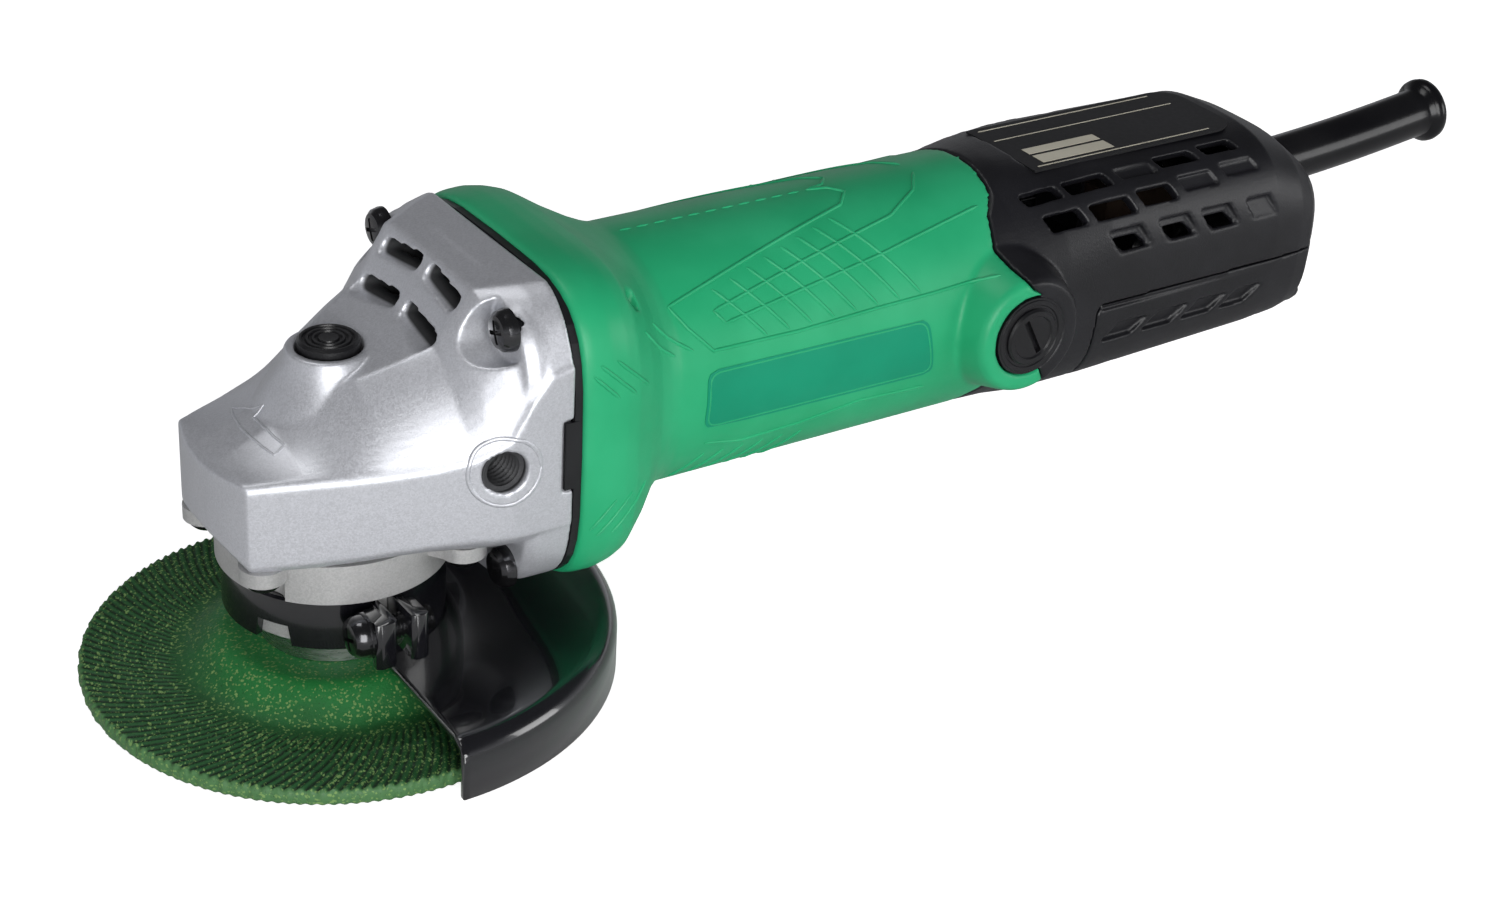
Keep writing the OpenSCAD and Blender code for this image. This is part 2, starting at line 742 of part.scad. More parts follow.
// The coils of the spring, one flat ring for each turn and a post between each two
module lock_spring() color([0.62, 0.63, 0.66]) {
    span = button_bottom_z - pocket_floor_z - spring_wire_d - 0.1;
    for (i = [0:spring_turns])
        translate([0, 0, pocket_floor_z + 0.05 + span * i / spring_turns])
            tube(spring_r + spring_wire_d / 2, spring_r - spring_wire_d / 2, spring_wire_d);
    for (i = [0:spring_turns - 1])
        rotate([0, 0, 180 * i])
            translate([spring_r, 0, pocket_floor_z + 0.05 + span * i / spring_turns])
                cylinder(d = spring_wire_d * 0.9, h = span / spring_turns + 0.2);
}

// ---------- guard ----------

guard_start = -91;
collar_r = neck_r + run_gap + collar_t;

module wheel_guard() color([0.04, 0.04, 0.05]) {
    corner = 4;
    skirt_in = guard_r - guard_t;
    plate_under = guard_top_z - guard_t;
    rotate([0, 0, guard_start]) rotate_extrude(angle = guard_angle, $fn = 128) polygon([
        [collar_r + seat_gap, plate_under],
        for (a = [90:-15:0])
            [skirt_in - corner + guard_t + (corner - guard_t) * cos(a),
                plate_under - corner + guard_t + (corner - guard_t) * sin(a)],
        [skirt_in, guard_bottom_z],
        [guard_r, guard_bottom_z],
        for (a = [0:15:90])
            [guard_r - corner + corner * cos(a), guard_top_z - corner + corner * sin(a)],
        [collar_r + seat_gap, guard_top_z]
    ]);
}

clamp_y = -26.4;
clamp_z = 21.3;
lug_gap = 1.5;
lug_front = 6;
lug_rear = 5;

module guard_collar() color([0.05, 0.05, 0.06]) {
    lug_y0 = -31;
    lug_z0 = 15.4;
    lug_h = collar_top_z - lug_z0;
    band_z = guard_top_z - guard_t;
    difference() {
        union() {
            difference() {
                translate([0, 0, band_z])
                    tube(collar_r, neck_r + run_gap, collar_top_z - band_z);
                // only the guard's side of the band reaches down to the guard's plate
                rotate([0, 0, guard_start + guard_angle])
                    rotate_extrude(angle = 360 - guard_angle, $fn = 96)
                        translate([neck_r - 2, band_z - over])
                            square([collar_t + 4, collar_bottom_z - band_z + over]);
            }
            difference() {
                translate([-lug_front, lug_y0, lug_z0])
                    cube([lug_front + lug_rear, -lug_y0 - neck_r - 0.6, lug_h]);
                translate([0, 0, lug_z0 - over]) cylinder(r = neck_r + 0.9, h = lug_h + 2 * over);
            }
        }
        // the split that the screw closes
        translate([-lug_gap, lug_y0 - over, band_z - over])
            cube([2 * lug_gap, -lug_y0 - neck_r + 2, collar_top_z]);
        // screw hole
        translate([-lug_front - over, clamp_y, clamp_z]) rotate([0, 90, 0])
            cylinder(d = clamp_screw_d + 0.2, h = lug_front + lug_rear + 2 * over);
        // relief in the front of the band
        rotate([0, 0, 180]) translate([0, -12, collar_bottom_z - over]) cube([30, 30, 3.2 + over]);
    }
}

module clamp_screw() color([0.07, 0.07, 0.08]) {
    head_h = 4;
    translate([7.4, clamp_y, clamp_z]) rotate([0, -90, 0])
        round_head_screw(clamp_screw_d, 7.4 + lug_front, 4.5, head_h);
}

// ---------- motor housing ----------

// The swelling round each brush holder
module brush_ears() {
    for (side = [-1, 1])
        to_side(side, brush_x, 14, motor_z) {
            cylinder(r1 = ear_base_r, r2 = ear_r + 0.6, h = brush_cap_y - 16);
            translate([0, 0, brush_cap_y - 16]) cylinder(r = ear_r, h = 1.4);
        }
}

module housing_outside() {
    loft([
        shell_ring(housing_x, joint_half_w + 0.6, case_top_z + 0.7, motor_z - joint_half_h - 0.7, 4),
        shell_ring(housing_x + 5.5, joint_half_w + 1.2, case_top_z + 1.2,
            motor_z - joint_half_h - 1.2, 4),
        shell_ring(housing_x + 12.5, joint_half_w, case_top_z, motor_z - joint_half_h, 3.8),
        shell_ring(housing_x + 17, joint_half_w - 2.5, case_top_z - 2.5,
            motor_z - joint_half_h + 2.5, 3.2),
        shell_ring(housing_x + 21, barrel_r + 1.6, motor_z + barrel_r + 1.2,
            motor_z - barrel_r - 1.2, 2.5),
        shell_ring(collar_end_x + 1, barrel_r - 0.6, motor_z + barrel_r - 0.6,
            motor_z - barrel_r + 0.6, 2)
    ]);
    on_motor_axis(collar_end_x - 3)
        cylinder(r = barrel_r, h = housing_end_x - collar_end_x + 3, $fn = 96);
    intersection() {
        brush_ears();
        translate([brush_x - 40, -60, 0]) cube([housing_end_x - brush_x + 40, 120, 100]);
    }
}

module motor_housing() color([0.10, 0.55, 0.32]) {
    bore_x = 58;
    inner_r = barrel_r - barrel_wall;
    difference() {
        union() {
            difference() {
                housing_outside();
                on_motor_axis(housing_x - over) cylinder(r = fan_chamber_r, h = 52 - housing_x + over);
                on_motor_axis(51.9) cylinder(r1 = fan_chamber_r, r2 = inner_r, h = bore_x - 51.8);
                on_motor_axis(bore_x - over) cylinder(r = inner_r, h = housing_end_x);
            }
            // spigot that the tail cover slides onto, with the rear bearing's cup
            on_motor_axis(housing_end_x - 3) tube(inner_r + 1, spigot_r - spigot_wall, 3);
            on_motor_axis(housing_end_x - 1)
                tube(spigot_r, spigot_r - spigot_wall, rear_wall_x - housing_end_x + 1 + rear_wall_t);
            on_motor_axis(rear_wall_x) tube(spigot_r - 1, rear_bearing_od / 2 - 2, rear_wall_t);
            on_motor_axis(rear_wall_x + rear_wall_t / 2)
                tube(rear_bearing_od / 2 + seat_wall, rear_bearing_od / 2 + seat_gap,
                    rear_bearing_w + 2.5);
        }
        for (side = [-1, 1])
            to_side(side, brush_x, 14, motor_z) cylinder(r = holder_r + seat_gap, h = 30);
        for (side = [-1, 1])
            to_side(side, brush_x, brush_cap_y - 3, motor_z)
                cylinder(r = holder_flange_r + 0.1, h = 10);
        for (side = [-1, 1]) for (level = [-1, 1])
            translate([0, side * case_screw_offset, level * case_screw_offset])
                on_motor_axis(housing_x - over)
                    cylinder(r = case_screw_d / 2 + seat_gap,
                        h = case_screw_len - joint_flange_t + over);
    }
}

module side_labels() color([0.05, 0.42, 0.28]) {
    label_x = 69.5;
    label_len = 54;
    label_h = 13;
    for (side = [-1, 1])
        intersection() {
            on_motor_axis(label_x) tube(barrel_r + 0.3, barrel_r + seat_gap, label_len);
            translate([label_x, side * 25 - 5, motor_z - label_h / 2]) cube([label_len, 10, label_h]);
        }
}

// ---------- motor ----------

module front_bearing() color([0.70, 0.71, 0.73]) {
    on_motor_axis(front_bearing_x)
        ball_bearing(front_shaft_r + run_gap, front_bearing_od, front_bearing_w, 8);
}

module rear_bearing() color([0.70, 0.71, 0.73]) {
    on_motor_axis(rear_bearing_x)
        ball_bearing(rear_shaft_r + run_gap, rear_bearing_od, rear_bearing_w, 7);
}

module armature_shaft() color([0.66, 0.67, 0.69]) {
    on_motor_axis(shaft_front_x) cylinder(r = pinion_shaft_r, h = 20);
    on_motor_axis(pinion_end_x) cylinder(r = front_shaft_r, h = commutator_x - pinion_end_x);
    on_motor_axis(commutator_x - 1)
        cylinder(r = rear_shaft_r, h = rear_bearing_x + rear_bearing_w - commutator_x + 1.5);
}

module pinion() color([0.48, 0.49, 0.51]) {
    translate([0, 0, motor_z]) difference() {
        union() {
            // turned so that its cone opens towards the tail, with a tooth pointing down
            rotate([0, -90, 0])
                bevel_teeth(pinion_teeth, pinion_cone, -pinion_end_x + 3, 180);
            rotate([0, 90, 0]) translate([0, 0, cone_inner * cos(pinion_cone) + 0.4])
                cylinder(r = pinion_shaft_r + 0.5,
                    h = pinion_end_x - cone_inner * cos(pinion_cone) - 0.4);
            rotate([0, 90, 0]) translate([0, 0, pinion_end_x - 3])
                cylinder(r = gear_pitch_d / 2 * pinion_teeth / gear_teeth + 0.4, h = 3);
        }
        rotate([0, 90, 0]) cylinder(r = pinion_shaft_r + seat_gap, h = pinion_end_x + over);
    }
}

module armature_core() color([0.36, 0.36, 0.38]) {
    slots = 12;
    on_motor_axis(core_x) linear_extrude(core_len) difference() {
        circle(d = core_d);
        circle(r = front_shaft_r + seat_gap);
        for (i = [0:slots - 1])
            rotate(360 * i / slots) translate([core_d / 2 - 5, -0.9]) square([6, 1.8]);
    }
}

module armature_windings() color([0.62, 0.30, 0.12]) {
    end_r = core_d / 2 - 1.2;
    for (end = [[core_x - 9.4, 9], [core_x + core_len + 0.4, 11]])
        on_motor_axis(end[0]) rotate_extrude() polygon([
            [front_shaft_r + seat_gap, 0], [end_r - 2, 0], [end_r, 2],
            [end_r, end[1] - 2], [end_r - 2, end[1]], [front_shaft_r + seat_gap, end[1]]
        ]);
}

module commutator() color([0.70, 0.40, 0.20]) {
    on_motor_axis(commutator_x) tube(commutator_d / 2, rear_shaft_r + seat_gap, commutator_len);
    on_motor_axis(commutator_x) tube(commutator_d / 2 + 1.6, rear_shaft_r + seat_gap, 3);
}

module fan() color([0.12, 0.12, 0.13]) {
    hub = 8;
    on_motor_axis(fan_x) {
        tube(hub, front_shaft_r + seat_gap, fan_len);
        translate([0, 0, fan_len - 1.6]) tube(fan_d / 2, hub - 1, 1.6);
        for (i = [0:fan_blades - 1])
            rotate([0, 0, 360 * i / fan_blades]) translate([11, 2, 2]) rotate([0, 0, -25])
                cube([fan_d / 2 - 12.5, 1.2, fan_len - 3]);
    }
}

module stator_core() color([0.40, 0.40, 0.42]) {
    on_motor_axis(core_x) linear_extrude(core_len) difference() {
        circle(r = stator_r);
        circle(r = stator_bore_r);
        for (turn = [0, 180]) for (a = [-coil_turn, coil_turn])
            rotate(turn + a) translate([coil_in_r - 0.1, -coil_w / 2 - 0.1])
                square([coil_out_r - coil_in_r + 0.2, coil_w + 0.2]);
    }
}

module field_coils() color([0.65, 0.33, 0.14]) {
    bar_len = core_len + 2 * coil_end;
    for (turn = [0, 180])
        on_motor_axis(core_x - coil_end) rotate([0, 0, turn]) {
            for (a = [-coil_turn, coil_turn])
                rotate([0, 0, a]) translate([coil_in_r, -coil_w / 2, 0])
                    cube([coil_out_r - coil_in_r, coil_w, bar_len]);
            for (end_z = [0.3, bar_len - coil_end + 0.3])
                translate([0, 0, end_z]) rotate([0, 0, -coil_turn])
                    rotate_extrude(angle = 2 * coil_turn)
                        translate([coil_in_r + 0.2, 0])
                            square([coil_out_r - coil_in_r - 0.5, coil_end - 0.6]);
        }
}

module brush_holders() color([0.06, 0.06, 0.07]) {
    in_y = commutator_d / 2 + 2.5;
    for (side = [-1, 1])
        to_side(side, brush_x, in_y, motor_z) difference() {
            union() {
                cylinder(r = holder_r, h = brush_cap_y - 0.9 - in_y);
                translate([0, 0, brush_cap_y - 3 - in_y]) cylinder(r = holder_flange_r, h = 2.1);
            }
            translate([-brush_t / 2 - 0.1, -brush_w / 2 - 0.1, -over])
                cube([brush_t + 0.2, brush_w + 0.2, 40]);
            translate([0, 0, cap_in_y - in_y]) cylinder(d = brush_cap_d + 2 * seat_gap, h = 10);
        }
}

module carbon_brushes() color([0.15, 0.15, 0.16]) {
    for (side = [-1, 1])
        to_side(side, brush_x, brush_in_y, motor_z)
            translate([-brush_t / 2, -brush_w / 2, 0]) cube([brush_t, brush_w, brush_len]);
}

module brush_springs() color([0.72, 0.60, 0.32]) {
    wire = 0.7;
    coil_r_out = 2.3;
    start_y = brush_in_y + brush_len;
    span = cap_in_y - start_y - wire;
    turns = 4;
    for (side = [-1, 1])
        to_side(side, brush_x, start_y, motor_z) {
            for (i = [0:turns])
                translate([0, 0, span * i / turns]) tube(coil_r_out, coil_r_out - wire, wire);
            for (i = [0:turns - 1])
                rotate([0, 0, 180 * i])
                    translate([coil_r_out - wire / 2, 0, span * i / turns])
                        cylinder(d = wire * 0.9, h = span / turns + 0.2);
        }
}

module brush_caps() color([0.05, 0.05, 0.06]) {
    slot_w = 1.5;
    for (side = [-1, 1])
        to_side(side, brush_x, cap_in_y, motor_z) difference() {
            cylinder(d = brush_cap_d, h = cap_t);
            translate([0, 0, cap_t]) rotate([0, 0, -side * 62])
                cube([brush_cap_d * 0.72, slot_w, 3], center = true);
        }
}

// ---------- tail ----------

function tail_rings(inset) = [
    shell_ring(tail_start_x, tail_half_w - inset, tail_top_z + 0.3 - inset,
        motor_z - barrel_r + inset, 2.05),
    shell_ring(158, tail_half_w + 0.2 - inset, tail_top_z + 0.1 - inset,
        tail_bottom_z - 1.2 + inset, 2.6),
    shell_ring(170, tail_half_w - inset, tail_top_z - inset, tail_bottom_z + inset, 3),
    shell_ring(tail_end_x - 16, tail_half_w - 0.8 - inset, tail_top_z - 0.8 - inset,
        tail_bottom_z + 1.5 + inset, 3),
    shell_ring(tail_end_x - 4 - inset, tail_half_w - 2 - inset, tail_top_z - 7.5 - inset,
        tail_bottom_z + 4 + inset, 3.2),
    shell_ring(tail_end_x - inset, tail_half_w - 5.5 - inset, tail_top_z - 10.5 - inset,
        tail_bottom_z + 8 + inset, 3.2)
];

module tail_inside() {
    rings = tail_rings(tail_wall);
    loft([
        shell_ring(tail_start_x - over, tail_half_w - tail_wall, motor_z + spigot_r + 0.3,
            motor_z - spigot_r - 0.3, 2.05),
        for (i = [1:len(rings) - 1]) rings[i]
    ]);
}

// Space that the lower cover takes from the tail, less a margin on every side
module lower_cover_space(margin) {
    translate([lower_cover_x + margin, -60, 0])
        cube([tail_end_x - lower_cover_x + 10, 120, tail_split_z - margin]);
}

module tail_vents() {
    rows = [[160, 64.5, 5], [163, 71, 4], [176, 58, 3]];
    pitch = 12.2;
    for (side = [-1, 1]) for (row = rows) for (i = [0:row[2] - 1])
        if (side < 0 || row[0] + i * pitch < switch_x - 22)
            translate([row[0] + i * pitch, side * 24 - 10, row[1]]) cube([8.4, 20, 3]);
}

module tail_cover() color([0.07, 0.07, 0.08]) {
    difference() {
        union() {
            loft(tail_rings(0));
            intersection() {
                brush_ears();
                translate([tail_start_x, -60, 0]) cube([40, 120, 100]);
            }
        }
        tail_inside();
        lower_cover_space(0);
        tail_vents();
        // room for the brush holders' flanges and for the holders themselves
        for (side = [-1, 1]) {
            to_side(side, brush_x, brush_cap_y - 3, motor_z)
                cylinder(r = holder_flange_r + 0.1, h = 10);
            to_side(side, brush_x, 10, motor_z) cylinder(r = holder_r + 0.3, h = 30);
        }
        // inside of the ears, over the housing's spigot
        on_motor_axis(tail_start_x - over) cylinder(r = spigot_r + 0.1, h = 12);
        // recess of the rating plate
        translate([plate_x, -plate_w / 2, tail_top_z - 0.8]) cube([plate_len, plate_w, 5]);
        // hole of the switch bushing
        to_side(1, switch_x, 10, switch_z) cylinder(r = bushing_r + 0.1, h = 30);
        // hole of the cord guard
        cord_guard_place() cylinder(d = cord_guard_d + 0.2, h = 30);
    }
    // blocks inside each side wall that the lower cover's screws hold
    for (side = [0, 1]) for (x = tail_screw_x)
        mirror([0, side, 0]) difference() {
            translate([x - 4, tail_screw_y - 4, tail_split_z])
                cube([8, tail_half_w - 1.8 - tail_screw_y + 4, tail_block_h]);
            translate([x, tail_screw_y, tail_split_z - over])
                cylinder(d = tail_screw_d + 2 * seat_gap, h = tail_block_h - 1 + over);
        }
    // shelf across the tail that carries the cord clip
    difference() {
        translate([shelf_x, -tail_half_w + 2.5, tail_split_z])
            cube([shelf_len, 2 * tail_half_w - 5, shelf_t]);
        for (side = [-1, 1])
            translate([shelf_x + shelf_len / 2, side * clip_screw_y, tail_split_z - over])
                cylinder(d = clip_screw_d + 2 * seat_gap, h = shelf_t + 2 * over);
    }
}

module lower_tail_cover() color([0.08, 0.08, 0.09]) {
    difference() {
        intersection() {
            loft(tail_rings(0));
            lower_cover_space(cover_gap);
        }
        difference() {
            tail_inside();
            for (side = [-1, 1]) for (x = tail_screw_x)
                translate([x, side * tail_screw_y, 0])
                    cylinder(r = tail_boss_r, h = tail_split_z);
        }
        for (side = [-1, 1]) for (x = tail_screw_x)
            translate([x, side * tail_screw_y, 0]) {
                cylinder(d = tail_screw_d + 0.4, h = tail_split_z + over);
                cylinder(r = tail_boss_r - 1.2, h = tail_head_z);
            }
    }
}

module tail_screws() color([0.10, 0.10, 0.11]) {
    screw_len = tail_split_z - tail_head_z + tail_block_h - 2;
    for (side = [-1, 1]) for (x = tail_screw_x)
        translate([x, side * tail_screw_y, tail_head_z + screw_len]) mirror([0, 0, 1])
            round_head_screw(tail_screw_d, screw_len, 2.8, 2);
}

module rating_plate() color([0.10, 0.10, 0.11]) {
    translate([plate_x + 0.1, -plate_w / 2 + 0.1, tail_top_z - 0.8])
        cube([plate_len - 0.2, plate_w - 0.2, plate_t - 0.1]);
}

// Base of the cord guard: its axis leaves the tail's end wall, tilted upwards
module cord_guard_place() {
    translate([cord_start_x, 0, cord_z]) rotate([0, 90 - cord_guard_tilt, 0]) children();
}

module cord_guard() color([0.03, 0.03, 0.04]) {
    full_len = cord_guard_len + tail_end_x - cord_start_x;
    cord_guard_place() difference() {
        union() {
            cylinder(d = cord_guard_d, h = full_len);
            // flange behind the tail's end wall, cut flat at its upper edge
            intersection() {
                cylinder(r = cord_flange_r, h = 2);
                translate([-cord_bore_d * 0.75, -20, 0]) cube([40, 40, 2]);
            }
            translate([0, 0, full_len - cord_end_flange_t])
                cylinder(r = cord_end_flange_r, h = cord_end_flange_t);
        }
        translate([0, 0, -over]) cylinder(d = cord_bore_d, h = full_len + 2 * over);
    }
}

module switch_body() color([0.12, 0.12, 0.13]) {
    body_len = 22;
    body_h = 16;
    difference() {
        union() {
            translate([switch_x - body_len / 2, switch_wall_y - switch_depth, switch_z - body_h / 2])
                cube([body_len, switch_depth, body_h]);
            to_side(1, switch_x, switch_wall_y - 1, switch_z) cylinder(r = bushing_r, h = 8.4);
        }
        to_side(1, switch_x, switch_pivot_y - 5.6, switch_z) cylinder(r = bushing_bore_r, h = 20);
    }
}

module switch_nut() color([0.62, 0.63, 0.65]) {
    to_side(1, switch_x, tail_half_w + 0.1, switch_z) difference() {
        cylinder(r = 8.6, h = 2.2, $fn = 6);
        translate([0, 0, -over]) cylinder(r = bushing_r + seat_gap, h = 4);
    }
}

module switch_lever() color([0.65, 0.66, 0.68]) {
    translate([switch_x, switch_pivot_y, switch_z]) rotate([-90 - switch_swing / 2, 0, 0]) {
        sphere(r = lever_ball_r);
        rotate([0, 0, 45]) cylinder(r1 = 1.9, r2 = 2.4, h = switch_lever_len);
        translate([0, 0, switch_lever_len]) sphere(r = 2.6);
    }
}

module terminal_block() color([0.80, 0.78, 0.70]) {
    block = [20, 8, 9];
    screw_hole_r = 1.6;
    translate([switch_x - block[0] / 2, switch_wall_y - switch_depth - 0.1 - block[1],
            switch_z - block[2] / 2])
        difference() {
            cube(block);
            for (i = [0:1])
                translate([5 + 10 * i, block[1] / 2, block[2] - 4]) cylinder(r = screw_hole_r, h = 5);
        }
}

module cord_clip() color([0.10, 0.10, 0.11]) {
    clip_w = 26;
    clip_z = tail_split_z + shelf_t;
    difference() {
        translate([shelf_x + 0.3, -clip_w / 2, clip_z])
            cube([shelf_len - 0.8, clip_w, clip_top_z - clip_z]);
        translate([shelf_x - over, 0, cord_z - 0.5]) rotate([0, 90, 0])
            cylinder(d = cord_bore_d + 0.4, h = 2 * shelf_len);
        for (side = [-1, 1])
            translate([shelf_x + shelf_len / 2, side * clip_screw_y, clip_z - over])
                cylinder(d = clip_screw_d + 0.4, h = 30);
    }
}

module cord_clip_screws() color([0.6, 0.6, 0.62]) {
    screw_len = clip_top_z - tail_split_z - 0.5;
    for (side = [-1, 1])
        translate([shelf_x + shelf_len / 2, side * clip_screw_y, tail_split_z + 0.5])
            round_head_screw(clip_screw_d, screw_len, 2.6, 1.6);
}

// ---------- assembly ----------

gear_case();
bearing_cover();
bearing_cover_screws();
case_screws();
inner_cover();
spindle_bearing();
spindle_bush();
dust_seal();
front_bearing();
motor_housing();
stator_core();
field_coils();
rear_bearing();
brush_holders();
carbon_brushes();
brush_springs();
brush_caps();
tail_cover();
lower_tail_cover();
tail_screws();
switch_body();
switch_nut();
terminal_block();
cord_clip();
cord_clip_screws();
cord_guard();
rating_plate();
side_labels();
lock_spring();
spindle();
bevel_gear();
gear_clip();
inner_flange();
grinding_wheel();
wheel_bush();
wheel_nut();
armature_shaft();
pinion();
armature_core();
armature_windings();
commutator();
fan();
lock_button();
lock_pin();
wheel_guard();
guard_collar();
clamp_screw();
switch_lever();
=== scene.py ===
import json
from math import copysign, cos, hypot, pi, radians, sin, tau

import bmesh
import bpy
from mathutils import Matrix, Vector
from mathutils.bvhtree import BVHTree


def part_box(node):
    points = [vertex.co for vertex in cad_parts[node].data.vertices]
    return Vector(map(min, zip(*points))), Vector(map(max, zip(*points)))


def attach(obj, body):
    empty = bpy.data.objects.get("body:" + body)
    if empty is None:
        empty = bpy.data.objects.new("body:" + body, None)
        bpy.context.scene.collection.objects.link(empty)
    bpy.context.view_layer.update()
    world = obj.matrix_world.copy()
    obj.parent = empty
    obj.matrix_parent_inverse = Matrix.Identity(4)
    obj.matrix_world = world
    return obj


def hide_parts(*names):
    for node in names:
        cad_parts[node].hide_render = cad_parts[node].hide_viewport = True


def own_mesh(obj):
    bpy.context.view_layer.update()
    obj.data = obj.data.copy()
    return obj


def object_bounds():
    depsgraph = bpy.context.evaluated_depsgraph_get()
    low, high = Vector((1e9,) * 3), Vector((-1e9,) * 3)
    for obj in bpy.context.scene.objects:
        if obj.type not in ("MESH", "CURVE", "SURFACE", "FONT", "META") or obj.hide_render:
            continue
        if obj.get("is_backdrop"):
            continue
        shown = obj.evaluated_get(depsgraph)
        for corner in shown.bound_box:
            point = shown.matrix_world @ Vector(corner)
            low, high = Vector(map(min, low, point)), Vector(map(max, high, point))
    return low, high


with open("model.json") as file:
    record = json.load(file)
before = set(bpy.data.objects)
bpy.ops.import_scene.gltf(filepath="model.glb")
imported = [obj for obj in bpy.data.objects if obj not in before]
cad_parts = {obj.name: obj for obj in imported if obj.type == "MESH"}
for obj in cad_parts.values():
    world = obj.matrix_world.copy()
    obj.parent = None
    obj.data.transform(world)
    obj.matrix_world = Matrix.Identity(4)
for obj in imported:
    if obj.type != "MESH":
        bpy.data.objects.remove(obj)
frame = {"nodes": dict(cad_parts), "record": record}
cadLow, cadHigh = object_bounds()
mm = 0.001
scene = bpy.context.scene
print("frame loaded")


def boxOf(node):  # a node's corners in millimetres
    low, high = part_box(node)
    return low / mm, high / mm


# places that the pieces share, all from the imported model
shaftLow, shaftHigh = boxOf("armature_shaft")
motorZ = round((shaftLow.z + shaftHigh.z) / 2, 2)
coverLow, coverHigh = boxOf("inner_cover")
jointX, housingX = coverHigh.x - 1.6, coverHigh.x
capLow, capHigh = boxOf("brush_caps")
brushX = round((capLow.x + capHigh.x) / 2, 2)
capFace = capHigh.y
wheelLow = boxOf("grinding_wheel")[0]
guardLow, guardHigh = boxOf("wheel_guard")
buttonLow, buttonHigh = boxOf("lock_button")
gripLow = boxOf("cord_guard")[0]
lowerLow, lowerHigh = boxOf("lower_tail_cover")
joint = {"halfW": coverHigh.y, "top": coverHigh.z, "bottom": coverLow.z}


# mesh helpers, sizes in millimetres

def solid(points, faces):
    mesh = bpy.data.meshes.new("part")
    mesh.from_pydata([Vector(p) * mm for p in points], [], faces)
    work = bmesh.new()
    work.from_mesh(mesh)
    bmesh.ops.remove_doubles(work, verts=work.verts, dist=1e-7)
    bmesh.ops.recalc_face_normals(work, faces=work.faces)
    work.to_mesh(mesh)
    work.free()
    made = bpy.data.objects.new("part", mesh)
    scene.collection.objects.link(made)
    return made


def loft(rings):  # skins rings that have the same number of points
    count = len(rings[0])
    points = [p for ring in rings for p in ring]
    faces = [tuple(range(count)), tuple(range(len(points) - 1, len(points) - count - 1, -1))]
    for i in range(len(rings) - 1):
        for j in range(count):
            k = (j + 1) % count
            faces.append((i * count + j, (i + 1) * count + j, (i + 1) * count + k, i * count + k))
    return solid(points, faces)


def around(count):  # cosine and sine of even steps round a circle
    return [(cos(tau * i / count), sin(tau * i / count)) for i in range(count)]


def stood(section, angle):  # a (radius, height) outline turned to an angle round Z
    return [(radius * cos(angle), radius * sin(angle), z) for radius, z in section]


def swelled(value, power):  # bends a cosine or sine towards a squarer curve
    return copysign(abs(value) ** power, value)


def shellRing(x, halfW, top, bottom, power, count=96):
    middle, halfH = (top + bottom) / 2, (top - bottom) / 2
    return [(x, halfW * swelled(c, 2 / power), middle + halfH * swelled(s, 2 / power)) for c, s in around(count)]


def turned(profile, place=None, steps=96):  # closed (radius, height) outline turned round Z
    points, faces, count = [], [], len(profile)
    for c, s in around(steps):
        points += [(r * c, r * s, z) for r, z in profile]
    for i in range(steps):
        for j in range(count):
            k, n = (j + 1) % count, (i + 1) % steps
            faces.append((i * count + j, n * count + j, n * count + k, i * count + k))
    made = solid(points, faces)
    work = bmesh.new()  # clears what collapsed onto the axis
    work.from_mesh(made.data)
    bmesh.ops.dissolve_degenerate(work, dist=1e-7, edges=work.edges)
    bmesh.ops.recalc_face_normals(work, faces=work.faces)
    work.to_mesh(made.data)
    work.free()
    if place:
        made.data.transform(place)
    return made


def prism(outline, low, high, place=Matrix()):  # outline in XY pushed from low to high along Z
    count = len(outline)
    points = [(x, y, low) for x, y in outline] + [(x, y, high) for x, y in outline]
    faces = [tuple(range(count)), tuple(range(count, 2 * count))]
    faces += [(i, (i + 1) % count, (i + 1) % count + count, i + count) for i in range(count)]
    made = solid(points, faces)
    made.data.transform(place)
    if place.determinant() < 0:
        made.data.flip_normals()
    return made


def at(x=0, y=0, z=0):
    return Matrix.Translation(Vector((x, y, z)) * mm)


def spin(degrees, axis="Z"):
    return Matrix.Rotation(radians(degrees), 4, axis)


def alongX(x=0, y=0, z=0):  # a piece that stands on Z points at the tail
    return at(x, y, z) @ spin(90, "Y")


def toSide(side, x, y, z):  # a piece that stands on Z points at +Y or -Y
    return at(x, side * y, z) @ spin(-side * 90, "X")


def sideWays(side):  # outlines in (x, z), pushed outwards along Y
    return Matrix(((1, 0, 0, 0), (0, 0, side, 0), (0, 1, 0, 0), (0, 0, 0, 1)))


def rod(radius, length, place, steps=64):
    return turned([(0, 0), (radius, 0), (radius, length), (0, length)], place, steps)


def settle(piece):  # applies the modifiers to the mesh
    graph = bpy.context.evaluated_depsgraph_get()
    mesh = bpy.data.meshes.new_from_object(piece.evaluated_get(graph))
    piece.modifiers.clear()
    old, piece.data = piece.data, mesh
    bpy.data.meshes.remove(old)
    return piece


def combine(piece, tools, operation="DIFFERENCE"):
    for tool in tools:
        step = piece.modifiers.new("cut", "BOOLEAN")
        step.operation, step.solver, step.object = operation, "MANIFOLD", tool
        settle(piece)
        bpy.data.objects.remove(tool)
    return piece


def melt(piece, part):  # rounds every edge a little, as casting and moulding do
    step = piece.modifiers.new("remesh", "REMESH")
    step.mode, step.voxel_size = "VOXEL", part["voxel"] * mm
    step = piece.modifiers.new("smooth", "SMOOTH")
    step.factor, step.iterations = 0.5, part["soften"]
    piece.modifiers.new("thin", "DECIMATE").ratio = part["keep"]
    settle(piece)
    piece.data.polygons.foreach_set("use_smooth", [True] * len(piece.data.polygons))
    return piece


